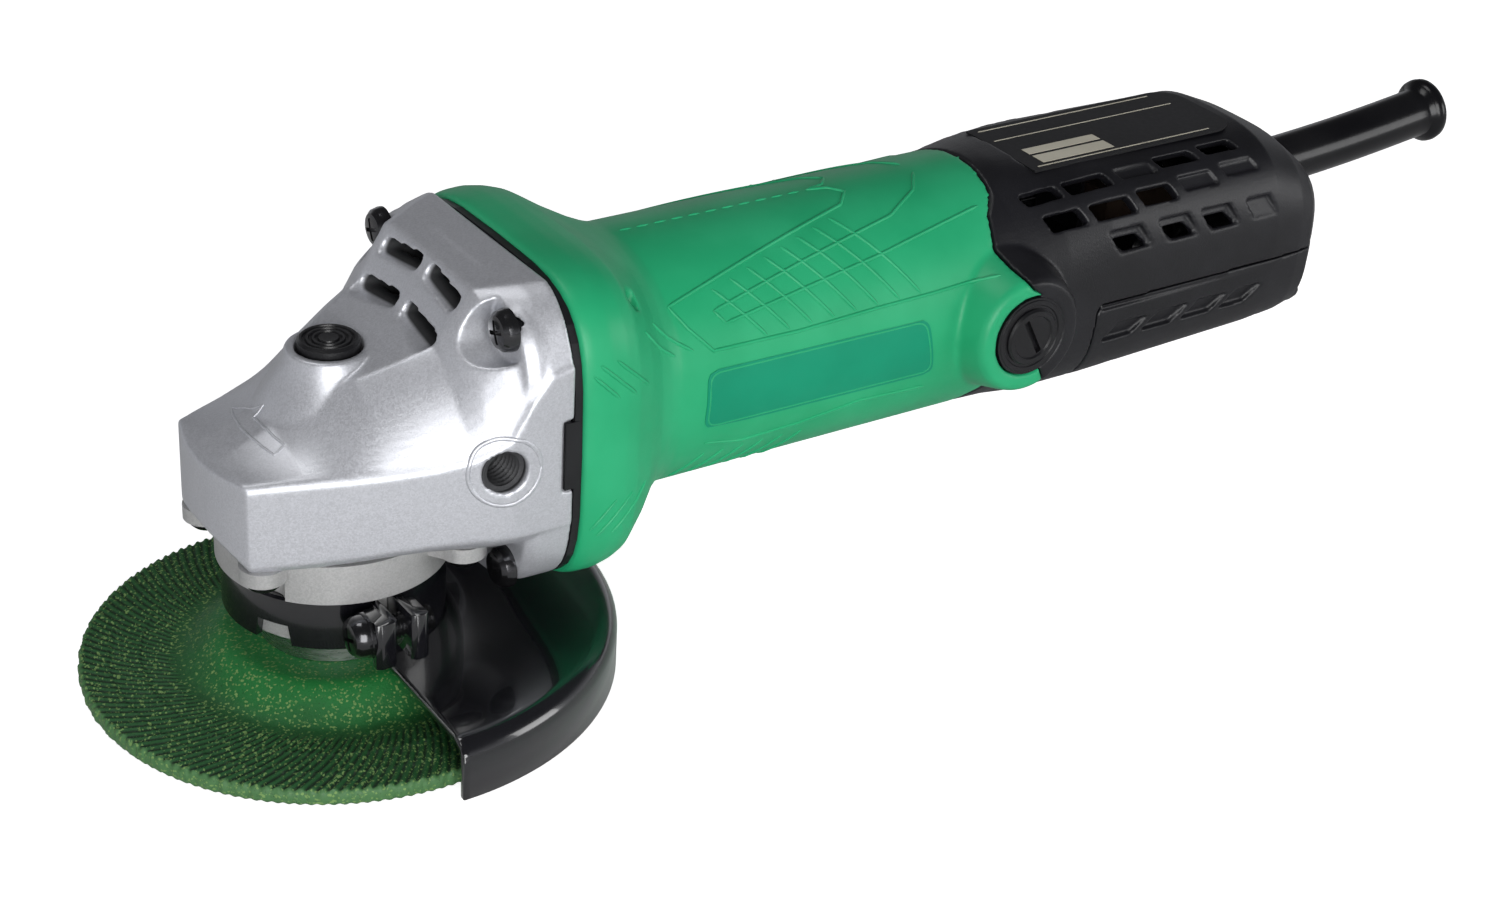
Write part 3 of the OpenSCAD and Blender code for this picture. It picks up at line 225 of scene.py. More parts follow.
def rounded(piece, width, segments=3, angle=30):
    step = piece.modifiers.new("bevel", "BEVEL")
    step.width, step.segments, step.angle_limit = width * mm, segments, radians(angle)
    step.harden_normals = True
    return crisp(settle(piece), angle)


def crisp(piece, angle=35):  # smooth faces, with the edges above the angle kept sharp
    work = bmesh.new()
    work.from_mesh(piece.data)
    for edge in work.edges:
        edge.smooth = len(edge.link_faces) == 2 and edge.calc_face_angle(0) < radians(angle)
    for face in work.faces:
        face.smooth = True
    work.to_mesh(piece.data)
    work.free()
    return piece


def join(parts, angle=None):
    work = bmesh.new()
    for part in parts:
        work.from_mesh(part.data)
    mesh = bpy.data.meshes.new("part")
    work.to_mesh(mesh)
    work.free()
    for part in parts:
        bpy.data.objects.remove(part)
    made = bpy.data.objects.new("part", mesh)
    scene.collection.objects.link(made)
    return crisp(made, angle) if angle else made


def fit(name, piece, body, slot, *nodes):
    piece.name = piece.data.name = name
    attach(piece, body)
    if nodes:
        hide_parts(*nodes)
    piece.data.materials.clear()
    piece.data.materials.append(finishes[slot])
    print("made", piece.name, len(piece.data.polygons))
    return piece


# materials

class Wire:  # one value, colour or vector on its way through a material
    def __init__(self, tree, socket):
        self.tree, self.socket = tree, socket

    def node(self, kind, settings=None, values=None, out=0):
        made = self.tree.nodes.new(kind)
        for key, value in (settings or {}).items():
            setattr(made, key, value)
        for key, value in (values or {}).items():
            target = made.inputs[key]
            if isinstance(value, Wire):
                self.tree.links.new(value.socket, target)
            else:
                target.default_value = value
        return Wire(self.tree, made.outputs[out])

    def sum(self, operation, a, b=0.0):
        return self.node("ShaderNodeMath", {"operation": operation}, {0: a, 1: b})

    def __add__(self, other): return self.sum("ADD", self, other)
    def __radd__(self, other): return self.sum("ADD", other, self)
    def __sub__(self, other): return self.sum("SUBTRACT", self, other)
    def __rsub__(self, other): return self.sum("SUBTRACT", other, self)
    def __mul__(self, other): return self.sum("MULTIPLY", self, other)
    def __rmul__(self, other): return self.sum("MULTIPLY", other, self)
    def __truediv__(self, other): return self.sum("DIVIDE", self, other)

    def between(self, low, high, toLow=0.0, toHigh=1.0):
        return self.node("ShaderNodeMapRange", {"interpolation_type": "SMOOTHSTEP"},
                         {"Value": self, "From Min": low, "From Max": high, "To Min": toLow, "To Max": toHigh})

    def noise(self, perMetre, detail=2.0, rough=0.5):
        return self.node("ShaderNodeTexNoise", None,
                         {"Vector": self, "Scale": perMetre, "Detail": detail, "Roughness": rough}, "Fac")

    def cells(self, perMetre):  # one random value for each small cell
        shade = self.node("ShaderNodeTexVoronoi", None, {"Vector": self, "Scale": perMetre}, "Color")
        return shade.node("ShaderNodeSeparateColor", None, {"Color": shade}, 0)

    def parts(self):  # x, y and z in millimetres
        apart = self.node("ShaderNodeSeparateXYZ", None, {0: self})
        return [Wire(self.tree, output) / mm for output in apart.socket.node.outputs]

    def blend(self, low, high):  # mixes two colours by this value
        made = self.tree.nodes.new("ShaderNodeMix")
        made.data_type = "RGBA"
        self.tree.links.new(self.socket, made.inputs["Factor"])
        for place, shade in ((6, low), (7, high)):
            if isinstance(shade, Wire):
                self.tree.links.new(shade.socket, made.inputs[place])
            else:
                made.inputs[place].default_value = (*shade, 1)
        return Wire(self.tree, made.outputs[2])


def material(name, steady, build):  # steady: plain values; build: what changes over the surface
    made = bpy.data.materials.new(name)
    made.use_nodes = True
    tree = made.node_tree
    shader = tree.nodes["Principled BSDF"]
    for key, value in steady.items():
        shader.inputs[key].default_value = (*value, 1) if isinstance(value, tuple) else value
    coords = tree.nodes.new("ShaderNodeTexCoord")
    for key, value in build(Wire(tree, coords.outputs["Object"])).items():
        tree.links.new(value.socket, shader.inputs[key])
    return made


def bump(point, height, reach):
    return point.node("ShaderNodeBump", None, {"Height": height, "Distance": reach * mm, "Strength": 1.0})


def grained(low, high, rough, grain=900, depth=0.05, patch=60, roughSpread=0.06):
    def build(point):
        fine = point.noise(grain, 3.0, 0.6)
        wide = point.noise(patch, 3.0)
        return {"Base Color": wide.between(0.3, 0.7).blend(low, high),
                "Roughness": fine * roughSpread * 2 + (rough - roughSpread),
                "Normal": bump(point, fine, depth)}
    return build


def castLook(low, high, rough, sparkle):
    def build(point):
        glint = point.cells(sparkle)
        fine = point.noise(sparkle * 0.7, 2.0, 0.6)
        wide = point.noise(45, 3.0)
        tone = glint * 0.45 + fine * 0.2 + wide * 0.35
        return {"Base Color": tone.blend(low, high),
                "Roughness": glint * 0.12 + (rough - 0.06),
                "Normal": bump(point, fine * 0.6 + glint * 0.4, 0.012)}
    return build


def caseLook(point):  # bright outside, with painted shade (a dark colour) in the slots and holes
    made = castLook((0.44, 0.45, 0.48), (0.64, 0.65, 0.69), 0.42, 3600)(point)
    x, y, z = point.parts()
    behind = (x - 13.8) * 0.811 - (z - 72.7) * 0.585  # depth under the sloping face of the slots
    out = point.sum("ABSOLUTE", y)
    # masks of the slot walls and hole walls, where a dark colour is painted as shade
    slots = behind.between(0.6, 1.5) * (1 - out.between(15.4, 16.2)) * (1 - x.between(34, 35))
    slots = slots * z.between(63.8, 64.6) * (1 - z.between(81.6, 82.4))
    reach = point.sum("SQRT", (x - 20) * (x - 20) + (z - motorZ) * (z - motorZ))
    holes = (1 - reach.between(4.2, 4.5)) * (1 - out.between(32.2, 32.9))
    paintedShade = point.sum("MAXIMUM", slots, holes)
    # the dark colour here is painted shade in the slots and holes
    made["Base Color"] = paintedShade.blend(made["Base Color"], (0.05, 0.051, 0.054))
    made["Roughness"] = made["Roughness"] + paintedShade * 0.2
    return made


def wheelLook(point):
    shadow = (0.002, 0.018, 0.004)
    x, y, z = point.parts()
    radius = point.sum("SQRT", x * x + y * y)
    cell, fine = point.cells(2600), point.noise(2200, 3.0, 0.7)
    middle = (radius + point.noise(140, 2.0) * 8).between(24, 38)
    body = middle.blend((0.009, 0.175, 0.032), (0.010, 0.085, 0.018))
    body = radius.between(48.6, 49.6).blend(body, (0.06, 0.17, 0.055))
    angle = point.sum("ARCTAN2", y, x)
    wave = point.sum("SINE", (angle + (radius - 31.5) * 0.01335) * 150)  # the valleys between the ribs
    valley = wave.between(-0.9, 0.3, 0.85, 0.0) * radius.between(31.5, 34) * (1 - radius.between(48.8, 49.4))
    light = cell.between(0.82, 0.94).blend(valley.blend(body, shadow), (0.17, 0.30, 0.09))
    return {"Base Color": (fine.between(0.30, 0.42) * 0.55 + 0.45).blend(shadow, light),
            "Roughness": cell * 0.25 + 0.5, "Normal": bump(point, fine * 0.7 + cell * 0.5, 0.10)}


def brushed(low, high, rough, axisStretch):
    def build(point):
        long = point.node("ShaderNodeMapping", None, {"Vector": point, "Scale": axisStretch})
        lines = long.noise(1.0, 3.0, 0.6)
        return {"Base Color": lines.between(0.3, 0.7).blend(low, high),
                "Roughness": lines * 0.14 + (rough - 0.07), "Normal": bump(point, lines, 0.02)}
    return build


turnedLines = (200, 200, 3000)
looks = {  # slot: material, steady values, what changes over the surface
    "case_metal": ("castCase", {"Metallic": 0.55, "Coat Weight": 0.12, "Coat Roughness": 0.3}, caseLook),
    "cover_metal": ("castCover", {"Metallic": 0.6}, castLook((0.38, 0.38, 0.38), (0.58, 0.58, 0.575), 0.48, 3600)),
    "green_plastic": ("greenShell", {"Specular IOR Level": 0.28},
                      grained((0.016, 0.335, 0.142), (0.024, 0.375, 0.165), 0.40, 1500, 0.010)),
    "label_green": ("labelFilm", {"Specular IOR Level": 0.25},
                    grained((0.002, 0.235, 0.125), (0.004, 0.265, 0.142), 0.42, 700, 0.004)),
    "tail_plastic": ("tailShell", {"Specular IOR Level": 0.4},
                     grained((0.004, 0.004, 0.0055), (0.008, 0.008, 0.0105), 0.42, 2600, 0.045)),
    "black_plastic": ("mouldedBlack", {"Specular IOR Level": 0.4},
                      grained((0.005, 0.005, 0.006), (0.010, 0.010, 0.012), 0.36, 1800, 0.02)),
    "plate_black": ("plateFilm", {"Specular IOR Level": 0.3},
                    grained((0.005, 0.005, 0.006), (0.008, 0.008, 0.010), 0.5, 900, 0.01)),
    "pale_plastic": ("terminalPlastic", {}, grained((0.55, 0.52, 0.42), (0.64, 0.61, 0.50), 0.45, 900, 0.02)),
    "button_black": ("buttonRubber", {}, grained((0.006, 0.006, 0.007), (0.012, 0.012, 0.013), 0.34, 1500, 0.02)),
    "guard_black": ("guardPaint", {"Coat Weight": 0.8, "Coat Roughness": 0.05, "IOR": 1.5},
                    grained((0.004, 0.004, 0.0055), (0.007, 0.007, 0.009), 0.20, 260, 0.02, 40, 0.03)),
    "screw_black": ("screwOxide", {"Metallic": 0.9, "Coat Weight": 0.6, "Coat Roughness": 0.08},
                    grained((0.03, 0.03, 0.033), (0.06, 0.06, 0.064), 0.2, 1500, 0.015)),
    "cord_rubber": ("cordSleeve", {"Coat Weight": 0.12, "Coat Roughness": 0.1, "Specular IOR Level": 0.22},
                    grained((0.004, 0.004, 0.005), (0.008, 0.008, 0.009), 0.24, 500, 0.01)),
    "steel": ("groundSteel", {"Metallic": 1.0}, brushed((0.46, 0.46, 0.47), (0.60, 0.60, 0.61), 0.28, turnedLines)),
    "plated_steel": ("platedSteel", {"Metallic": 1.0},
                     grained((0.56, 0.56, 0.57), (0.68, 0.68, 0.69), 0.24, 1200, 0.01)),
    "bearing_steel": ("bearingSteel", {"Metallic": 1.0},
                      brushed((0.52, 0.52, 0.54), (0.66, 0.66, 0.68), 0.18, turnedLines)),
    "gear_steel": ("gearSteel", {"Metallic": 1.0}, grained((0.27, 0.27, 0.28), (0.38, 0.38, 0.39), 0.36, 1400, 0.02)),
    "core_steel": ("laminatedSteel", {"Metallic": 0.9},
                   brushed((0.20, 0.20, 0.21), (0.34, 0.34, 0.35), 0.45, (2500, 60, 60))),
    "bronze": ("sinteredBronze", {"Metallic": 1.0}, grained((0.42, 0.28, 0.11), (0.52, 0.36, 0.16), 0.38, 2200, 0.03)),
    "spring_brass": ("springBrass", {"Metallic": 1.0},
                     grained((0.62, 0.44, 0.16), (0.72, 0.53, 0.22), 0.26, 1200, 0.01)),
    "copper": ("segmentCopper", {"Metallic": 1.0},
               brushed((0.60, 0.27, 0.13), (0.74, 0.36, 0.19), 0.24, (1500, 200, 200))),
    "copper_wire": ("windingCopper", {"Metallic": 0.8, "Coat Weight": 0.5, "Coat Roughness": 0.15},
                    brushed((0.28, 0.085, 0.025), (0.52, 0.19, 0.06), 0.32, (40, 1500, 1500))),
    "carbon": ("brushCarbon", {"Metallic": 0.2}, grained((0.02, 0.02, 0.022), (0.045, 0.045, 0.048), 0.55, 2500, 0.03)),
    "felt": ("sealFelt", {}, grained((0.09, 0.085, 0.075), (0.16, 0.15, 0.13), 0.9, 1800, 0.2, 300)),
    "wheel_green": ("wheelGrit", {}, wheelLook),
}
finishes = {slot: material(*look) for slot, look in looks.items()}
# a dark casting finish that paints shade into the thread valleys
threadShadeCasting = material("threadShadeCasting", {"Metallic": 0.4},
                      castLook((0.035, 0.036, 0.038), (0.075, 0.076, 0.08), 0.6, 3000))
terminalResin = material("terminalResin", {}, grained((0.020, 0.012, 0.008), (0.035, 0.022, 0.015), 0.45, 900, 0.02))
for row in frame["record"]["subparts"]:  # every carried-over node takes its slot's finish
    carried = frame["nodes"][row["node"]].data.materials
    carried.clear()
    carried.append(terminalResin if row["node"] == "terminal_block" else finishes[row["material_slot"]])
print("finishes ready", len(finishes))


# gear case

case = {
    "voxel": 0.42, "soften": 9, "keep": 0.5,
    "frontHalf": 15.5, "crown": 2.9, "bottom": 34,
    # x, half width, ridge, half width and height of the top, lower edge of the side, swell of the shoulder
    "rings": [(-28.5, 15.5, 50, 10, 50.6, 34, 0), (-24.4, 15.5, 51.8, 10, 52.8, 34, 0),
              (-14, 19.6, 52.3, 9, 57.4, 34.3, 0.1), (-5, 23.3, 52.8, 11, 63.9, 35.2, 0.35),
              (0, 25.3, 53.2, 12.5, 66.8, 35.9, 0.5), (8, 28.5, 54.2, 14.5, 70.3, 36.7, 0.65),
              (13.8, 30.8, 55.6, 15.6, 72.8, 37.1, 0.8), (17.5, 32.4, 57, 16.3, 78, 37.3, 1),
              (21.3, 33.4, 59.5, 16.8, 83, 37.4, 1.15), (25, 33.7, 66, 18.5, 83.6, 37.4, 1.2),
              (29, 33.8, 71, 20.5, 84.2, 37.4, 1.2), (34, 33.8, 72, 22.5, 84.7, 37.4, 1.2)],
    "slot": {"half": 6.9, "height": 3.0, "middle": 8.3, "rows": (73.4, 80.1), "tilt": 6},
    "screwOut": 25.3, "seatX": 24.5, "handleX": 20, "handleHole": 3.4, "handleRing": 6.9,
    "coverScrews": ((-20.5, -13), (-20.5, 13), (16.5, -22.4), (16.5, 22.4)),
}


def caseRing(x, halfW, ridge, topHalf, top, edge, full, steps=12):
    half = [(halfW - 5, case["bottom"]), (halfW - 1, edge - 0.6), (halfW, edge + 0.8), (halfW, ridge - 0.7)]
    start, end = (halfW - 0.9, ridge + 0.5), (topHalf * (0.4 + 0.6 * min(1, full / 0.6)), top)
    bend = (start[0] + (end[0] - start[0]) * (0.5 - 0.14 * full), start[1] + (top - start[1]) * (0.52 + 0.26 * full))
    for i in range(steps + 1):
        u = i / steps
        half.append(tuple((1 - u) ** 2 * a + 2 * u * (1 - u) * b + u * u * c for a, b, c in zip(start, bend, end)))
    return [(x, y, z) for y, z in half] + [(x, -y, z) for y, z in reversed(half)]


shell = loft([caseRing(*ring) for ring in case["rings"]])
front = [(60, -70), (-21, -70)]
for i in range(13):
    y = case["frontHalf"] * (i / 6 - 1)
    front.append((-24.4 - case["crown"] * (1 - (y / case["frontHalf"]) ** 2), y))
front += [(-21, 70), (60, 70)]
combine(shell, [prism(front, 10, 100)], "INTERSECT")
chin = [(-40, 20), (-22.8, 20), (-22.8, 32.6), (-27.6, 38.2), (-40, 52)]
combine(shell, [prism(chin, -40, 40, sideWays(1))])
flange = loft([shellRing(x, joint["halfW"] - side, joint["top"] - top, joint["bottom"] + bottom, 4)
               for x, side, top, bottom in ((24.5, 1, 1.6, 0.8), (27, 0.1, 0.6, 0.1), (jointX, 0, 0, 0))])
boss = turned([(0, 50), (16.8, 50), (14.8, 57), (12.3, 61), (10.5, 63.8), (9.3, 66), (8.6, 67.8), (8.2, 69), (0, 69)])
combine(shell, [flange, boss], "UNION")
print("gear case body")

pocketR = (buttonHigh.x - buttonLow.x) / 2 + 0.45
chamber = [(0, 20), (20.9, 20), (20.9, 50.5), (10.5, 50.5), (10.5, 47.2), (8.05, 47.2), (8.05, 55.5), (5.3, 55.5),
           (5.3, 57.8), (3.2, 57.8), (3.2, 61.8), (pocketR, 61.8), (pocketR, 90), (0, 90)]
airRoom = [(16.2, 66), (36, 69), (36, 81.4), (24.3, 80.2), (18.4, 71.6)]
cuts = [turned(chamber), rod(8.8, 30, alongX(11.5, 0, motorZ)), rod(13.03, 30, alongX(25, 0, motorZ)),
        prism(airRoom, -14, 14, sideWays(1))]
slot = case["slot"]
slotBar = [(slot["half"] * swelled(c, 0.22), slot["height"] / 2 * swelled(s, 0.6)) for c, s in around(24)]
tab = [(31.5, 45.4), (37, 45.4), (37, 60.6), (31.5, 60.6)]
for side in (-1, 1):
    for height in slot["rows"]:
        place = alongX(8, side * slot["middle"], height) @ spin(90 - side * slot["tilt"])
        cuts.append(prism(slotBar, 0, 18, place))
    cuts.append(rod(case["handleHole"] + 0.85, 14, toSide(side, case["handleX"], 22.5, motorZ)))
    cuts.append(prism(tab, joint["halfW"] - 1.1, 40, sideWays(side)))
    for level in (-1, 1):
        y, z = side * case["screwOut"], motorZ + level * case["screwOut"]
        cuts.append(rod(6.4, 25, alongX(case["seatX"] - 25, y, z)))
        cuts.append(rod(2.3, 20, alongX(case["seatX"] - 1, y, z)))
for x, y in case["coverScrews"]:
    cuts.append(rod(2.1, 13, at(x, y, 32)))
combine(shell, cuts)
melt(shell, case)
fit("gearCaseShell", shell, "body", "case_metal", "gear_case")


def skinOf(piece):  # for laying lines on a surface
    return BVHTree.FromObject(piece, bpy.context.evaluated_depsgraph_get())


def strip(skin, rays, width, height, sink=0.25):  # a thin raised line laid on a surface
    spots = []
    for origin, direction in rays:
        hit, normal, _, _ = skin.ray_cast(Vector(origin) * mm, Vector(direction).normalized())
        if hit:
            spots.append((hit / mm, normal))
    section = [(-0.5, 0), (-0.3, 0.75), (0, 1), (0.3, 0.75), (0.5, 0)]
    points = []
    for i, (spot, normal) in enumerate(spots):
        ahead = (spots[min(i + 1, len(spots) - 1)][0] - spots[max(i - 1, 0)][0]).normalized()
        across = normal.cross(ahead).normalized()
        end = 0.45 if i in (0, len(spots) - 1) else 1  # the line thins out at its ends
        ring = [spot + across * u * width * end + normal * (v * height * end) for u, v in section]
        ring += [spot + across * u * width * end - normal * sink for u in (0.5, -0.5)]
        points.append([tuple(p) for p in ring])
    return crisp(loft(points), 60)


def along(corners, step=1.2):  # even points on a line through the corners
    made = []
    for a, b in zip(corners, corners[1:]):
        a, b = Vector(a), Vector(b)
        count = max(1, round((b - a).length / step))
        made += [a.lerp(b, i / count) for i in range(count)]
    return made + [Vector(corners[-1])]


arrow = [(-16.2, 9), (-17.5, 5), (-18.1, 0.5), (-18, -4), (-17.3, -7.6), (-16.4, -10.6), (-14, -9.7), (-14.8, -6.6),
         (-15.2, -3.5), (-15.3, 1.1), (-13.4, 0.6), (-16.2, 9)]
caseSkin = skinOf(shell)
arrowLine = strip(caseSkin, [((p.x, p.y, 90), (0, 0, -1)) for p in along(arrow, 0.8)], 0.55, 0.22)
rings = []
for side in (-1, 1):
    reach = case["handleRing"]
    rays = [((case["handleX"] + reach * c, side * 60, motorZ + reach * s), (0, -side, 0)) for c, s in around(60)]
    rings.append(strip(caseSkin, rays + rays[:1], 0.9, 0.2))
fit("caseRaisedLines", join([arrowLine] + rings), "body", "case_metal")

threads = []
bore = case["handleHole"]
outline = [(bore + 1.15, 0.4)]
for i in range(8):
    outline += [(bore + 0.75, 0.5 + i * 1.22), (bore + 0.02, 1.05 + i * 1.22)]
outline += [(bore + 0.8, 9.9), (bore + 1.15, 10)]
for side in (-1, 1):  # the thread of each side handle hole
    threads.append(turned(outline, toSide(side, case["handleX"], 21.9, motorZ), 64))
thread = fit("handleThreads", join(threads, 20), "body", "case_metal")
thread.data.materials.append(threadShadeCasting)
for face in thread.data.polygons:  # the valleys take the dark casting as painted shade; only the crests are bright
    if hypot(face.center.x / mm - case["handleX"], face.center.z / mm - motorZ) > case["handleHole"] + 0.5:
        face.material_index = 1
print("gear case done")


# screws

screws = {"caseHead": (4.2, 3.2, 2.0), "coverHead": (3.6, 2.4, 2.0), "coverZ": 31.1}  # radius, height, shank


def screwHead(place, radius, height, bar):  # stands on z = 0, its shank below
    crown = [(0, height), (radius * 0.45, height * 0.98), (radius * 0.75, height * 0.88),
             (radius * 0.93, height * 0.62), (radius, height * 0.25), (radius, 0), (bar, 0), (bar, -2.5), (0, -2.5)]
    head = turned(crown, None, 40)
    long, thin = radius * 0.55, radius * 0.1
    for turn in (20, 110):  # the cross recess
        blade = [(-long, -thin), (long, -thin), (long, thin), (-long, thin)]
        combine(head, [prism(blade, height * 0.45, height * 2, spin(turn))])
    head.data.transform(place)
    return head


spots = [(case["seatX"], side * case["screwOut"], motorZ + level * case["screwOut"])
         for side in (-1, 1) for level in (-1, 1)]
heads = [screwHead(at(*spot) @ spin(-90, "Y"), *screws["caseHead"]) for spot in spots]
heads += [rod(2.0, 20, alongX(*spot), 32) for spot in spots]
fit("caseScrewHeads", join(heads, 28), "body", "screw_black", "case_screws")
places = [at(x, y, screws["coverZ"]) for x, y in case["coverScrews"]]
heads = [screwHead(place @ spin(180, "X"), *screws["coverHead"]) for place in places]
heads += [rod(1.95, 11, place @ at(0, 0, -0.2), 32) for place in places]
fit("coverScrewHeads", join(heads, 28), "body", "screw_black", "bearing_cover_screws")
print("screws done")


# motor housing

body = {
    "voxel": 0.5, "soften": 10, "keep": 0.45, "radius": 27,
    "earTop": 13, "earFoot": 17, "earOut": 33.3,
    # x from the joint, half width, half height, squareness
    "rings": [(0, 34.4, 32.9, 4), (2.2, 35, 33.3, 4), (6, 35.05, 33.45, 4), (9.5, 34.7, 33, 3.9),
              (12.5, 33.8, 32.2, 3.8), (17, 31.3, 29.7, 3.2), (21, 28.6, 28.2, 2.5), (24, 27.4, 27.3, 2.2),
              (28, 26.6, 26.5, 2)],
    # where green meets black, in x from the brush axis and z from the motor axis
    "edgeTop": [(3.4, 40), (3.4, 27), (2, 23.5), (-1.3, 20.8), (-2.9, 15.3), (-2.6, 13.2), (-0.4, 10.5)],
    "edgeRing": 9, "edgeLow": [(6.3, -15.4), (-0.2, -16), (-3.6, -19.5), (-5.1, -23.5), (-5.6, -40)],
}


def greenEdge(gap):  # outline that the green keeps, grown by the gap
    line = [(brushX + dx + gap, motorZ + dz) for dx, dz in body["edgeTop"]]
    for i in range(25):
        angle = radians(67 + 225 * i / 24)  # round the brush cap
        reach = body["edgeRing"] - gap
        line.append((brushX + reach * cos(angle), motorZ + reach * sin(angle)))
    line += [(brushX + dx + gap, motorZ + dz - gap * 0.3) for dx, dz in body["edgeLow"]]
    return line + [(20, motorZ - 40), (20, motorZ + 40)]


def ears(out):  # the round bosses of the brush caps
    foot, top = body["earFoot"], body["earTop"]
    profile = [(0, 12), (foot + 1, 12), (foot, 18), (top + 1.9, 25.5), (top + 0.6, 30), (top - 0.1, out - 1.2),
               (top - 1.2, out), (0, out)]
    return [turned(profile, toSide(side, brushX, 0, motorZ)) for side in (-1, 1)]


rings = [shellRing(housingX + dx, halfW, motorZ + halfH, motorZ - halfH, power)
         for dx, halfW, halfH, power in body["rings"]]
shell = loft(rings)
barrel = rod(body["radius"], 155 - 58, alongX(58, 0, motorZ), 160)
combine(shell, [barrel] + ears(body["earOut"]), "UNION")
combine(shell, [prism(greenEdge(0), -60, 60, sideWays(1))], "INTERSECT")
cuts = [turned([(0, 30), (29, 30), (29, 52), (24.8, 58), (24.8, 160), (0, 160)], alongX(0, 0, motorZ))]
for side in (-1, 1):
    cuts.append(rod(7.05, 30, toSide(side, brushX, 14, motorZ)))
    for level in (-1, 1):
        y, z = side * case["screwOut"], motorZ + level * case["screwOut"]
        cuts.append(rod(2.1, 22, alongX(30, y, z), 32))
combine(shell, cuts)
melt(shell, body)
fit("motorHousingShell", shell, "body", "green_plastic", "motor_housing")
greenSkin = skinOf(shell)
print("motor housing done")

# raised lines, as x and degrees up the side from level
lines = [
    [(62.5, 44), (65.5, 33), (70, 22), (90, 21.5), (110, 23), (124, 23.5), (138, 25)],
    [(62.5, 44), (85, 58), (111, 74), (114.5, 82), (112, 88), (107.5, 90)],
    [(72, 38), (95, 50), (120, 62), (129, 73), (133, 85)],
    [(74, 32), (113, 45), (141, 57)], [(72, 38), (74, 32)], [(51.5, 35), (61, 24)], [(56, 38), (65.5, 24)],
    [(69, -22), (78, -27), (92, -25.5), (106, -21), (123, -23)],
]
lines += [[(73.3 + 4.7 * i, 47 + 3 * i), (82.6 + 5.4 * i, 23 + 0.25 * i)] for i in range(8)]
lines += [[(70 + 4.8 * i, -30 - 0.5 * i), (65 + 4.6 * i, -47 - 1.2 * i)] for i in range(6)]
dashes = [[(x, 90), (x + 2.6, 90)] for x in range(63, 107, 4)]
perDegree = 0.47  # millimetres on the barrel


def barrelRay(x, side, angle):  # from outside, square to the barrel
    out = Vector((0, side * cos(angle), sin(angle)))
    return Vector((x, 0, motorZ)) + out * 60, -out


raised = []
for line in lines:
    flat = along([(x, angle * perDegree, 0) for x, angle in line])
    for side in (-1, 1):
        rays = [barrelRay(p.x, side, radians(p.y / perDegree)) for p in flat]
        raised.append(strip(greenSkin, rays, 0.8, 0.34))
for line in dashes:
    rays = [((p.x, 0, motorZ + 60), (0, 0, -1)) for p in along([(*line[0], 0), (*line[1], 0)], 1)]
    raised.append(strip(greenSkin, rays, 0.65, 0.26))
hatches = [((35.9, 69), (41.4, 63.5)), ((37.5, 70.8), (45.5, 63.2)), ((41.1, 71), (49.7, 63))]
for side in (-1, 1):  # hatches at both corners of the front collar
    for (x0, z0), (x1, z1) in hatches:
        for flip in (1, -1):
            ends = [(x + 1.5, 0, motorZ + flip * (z - motorZ)) for x, z in ((x0, z0), (x1, z1))]
            rays = [((p.x, side * 60, p.z), (0, -side, 0)) for p in along(ends)]
            raised.append(strip(greenSkin, rays, 0.8, 0.34))
fit("housingRaisedLines", join(raised), "body", "green_plastic")


# side labels

label = {"corners": [(68, 14), (121.5, 13.2), (124, -15), (67.6, -13.4)], "round": 4.5, "lift": 0.12}
outline = []
flat = [Vector((x, angle * radians(1) * body["radius"])) for x, angle in label["corners"]]
for i, corner in enumerate(flat):  # rounded corners in the unrolled plane
    before, after = (flat[i - 1] - corner).normalized(), (flat[(i + 1) % 4] - corner).normalized()
    for step in range(7):
        u = step / 6
        outline.append(corner + (before * (1 - u) ** 2 + after * u ** 2) * label["round"] * 0.6)
low, high = min(p.y for p in outline), max(p.y for p in outline)
rows, plates = 24, []
for side in (-1, 1):
    points, faces = [], []
    for row in range(rows + 1):
        level = low + 0.01 + (high - low - 0.02) * row / rows
        crossings = [p.x + (q.x - p.x) * (level - p.y) / (q.y - p.y) for p, q in zip(outline, outline[1:] + outline[:1])
                     if (p.y - level) * (q.y - level) < 0]
        angle = level / body["radius"]
        for lift in (-0.15, label["lift"]):
            reach = body["radius"] + lift
            for x in (min(crossings), max(crossings)):
                points.append((x, side * reach * cos(angle), motorZ + reach * sin(angle)))
    for n in range(0, rows * 4, 4):
        faces += [(n + a, n + b, n + 4 + b, n + 4 + a) for a, b in ((0, 1), (1, 3), (3, 2), (2, 0))]
    faces += [(0, 1, 3, 2), (rows * 4, rows * 4 + 2, rows * 4 + 3, rows * 4 + 1)]
    plates.append(solid(points, faces))
film = fit("sideLabelFilm", join(plates, 40), "body", "label_green", "side_labels")
filmSkin = skinOf(film)
border = along([(x * 0.975 + 2.4, level * 0.9, 0) for x, level in outline + outline[:1]], 1.5)
borders = []
for side in (-1, 1):
    rays = [barrelRay(p.x, side, p.y / body["radius"]) for p in border]
    borders.append(strip(filmSkin, rays, 0.35, 0.06, 0.1))
fit("sideLabelBorder", join(borders), "body", "green_plastic")
print("housing trim done")


# brush caps

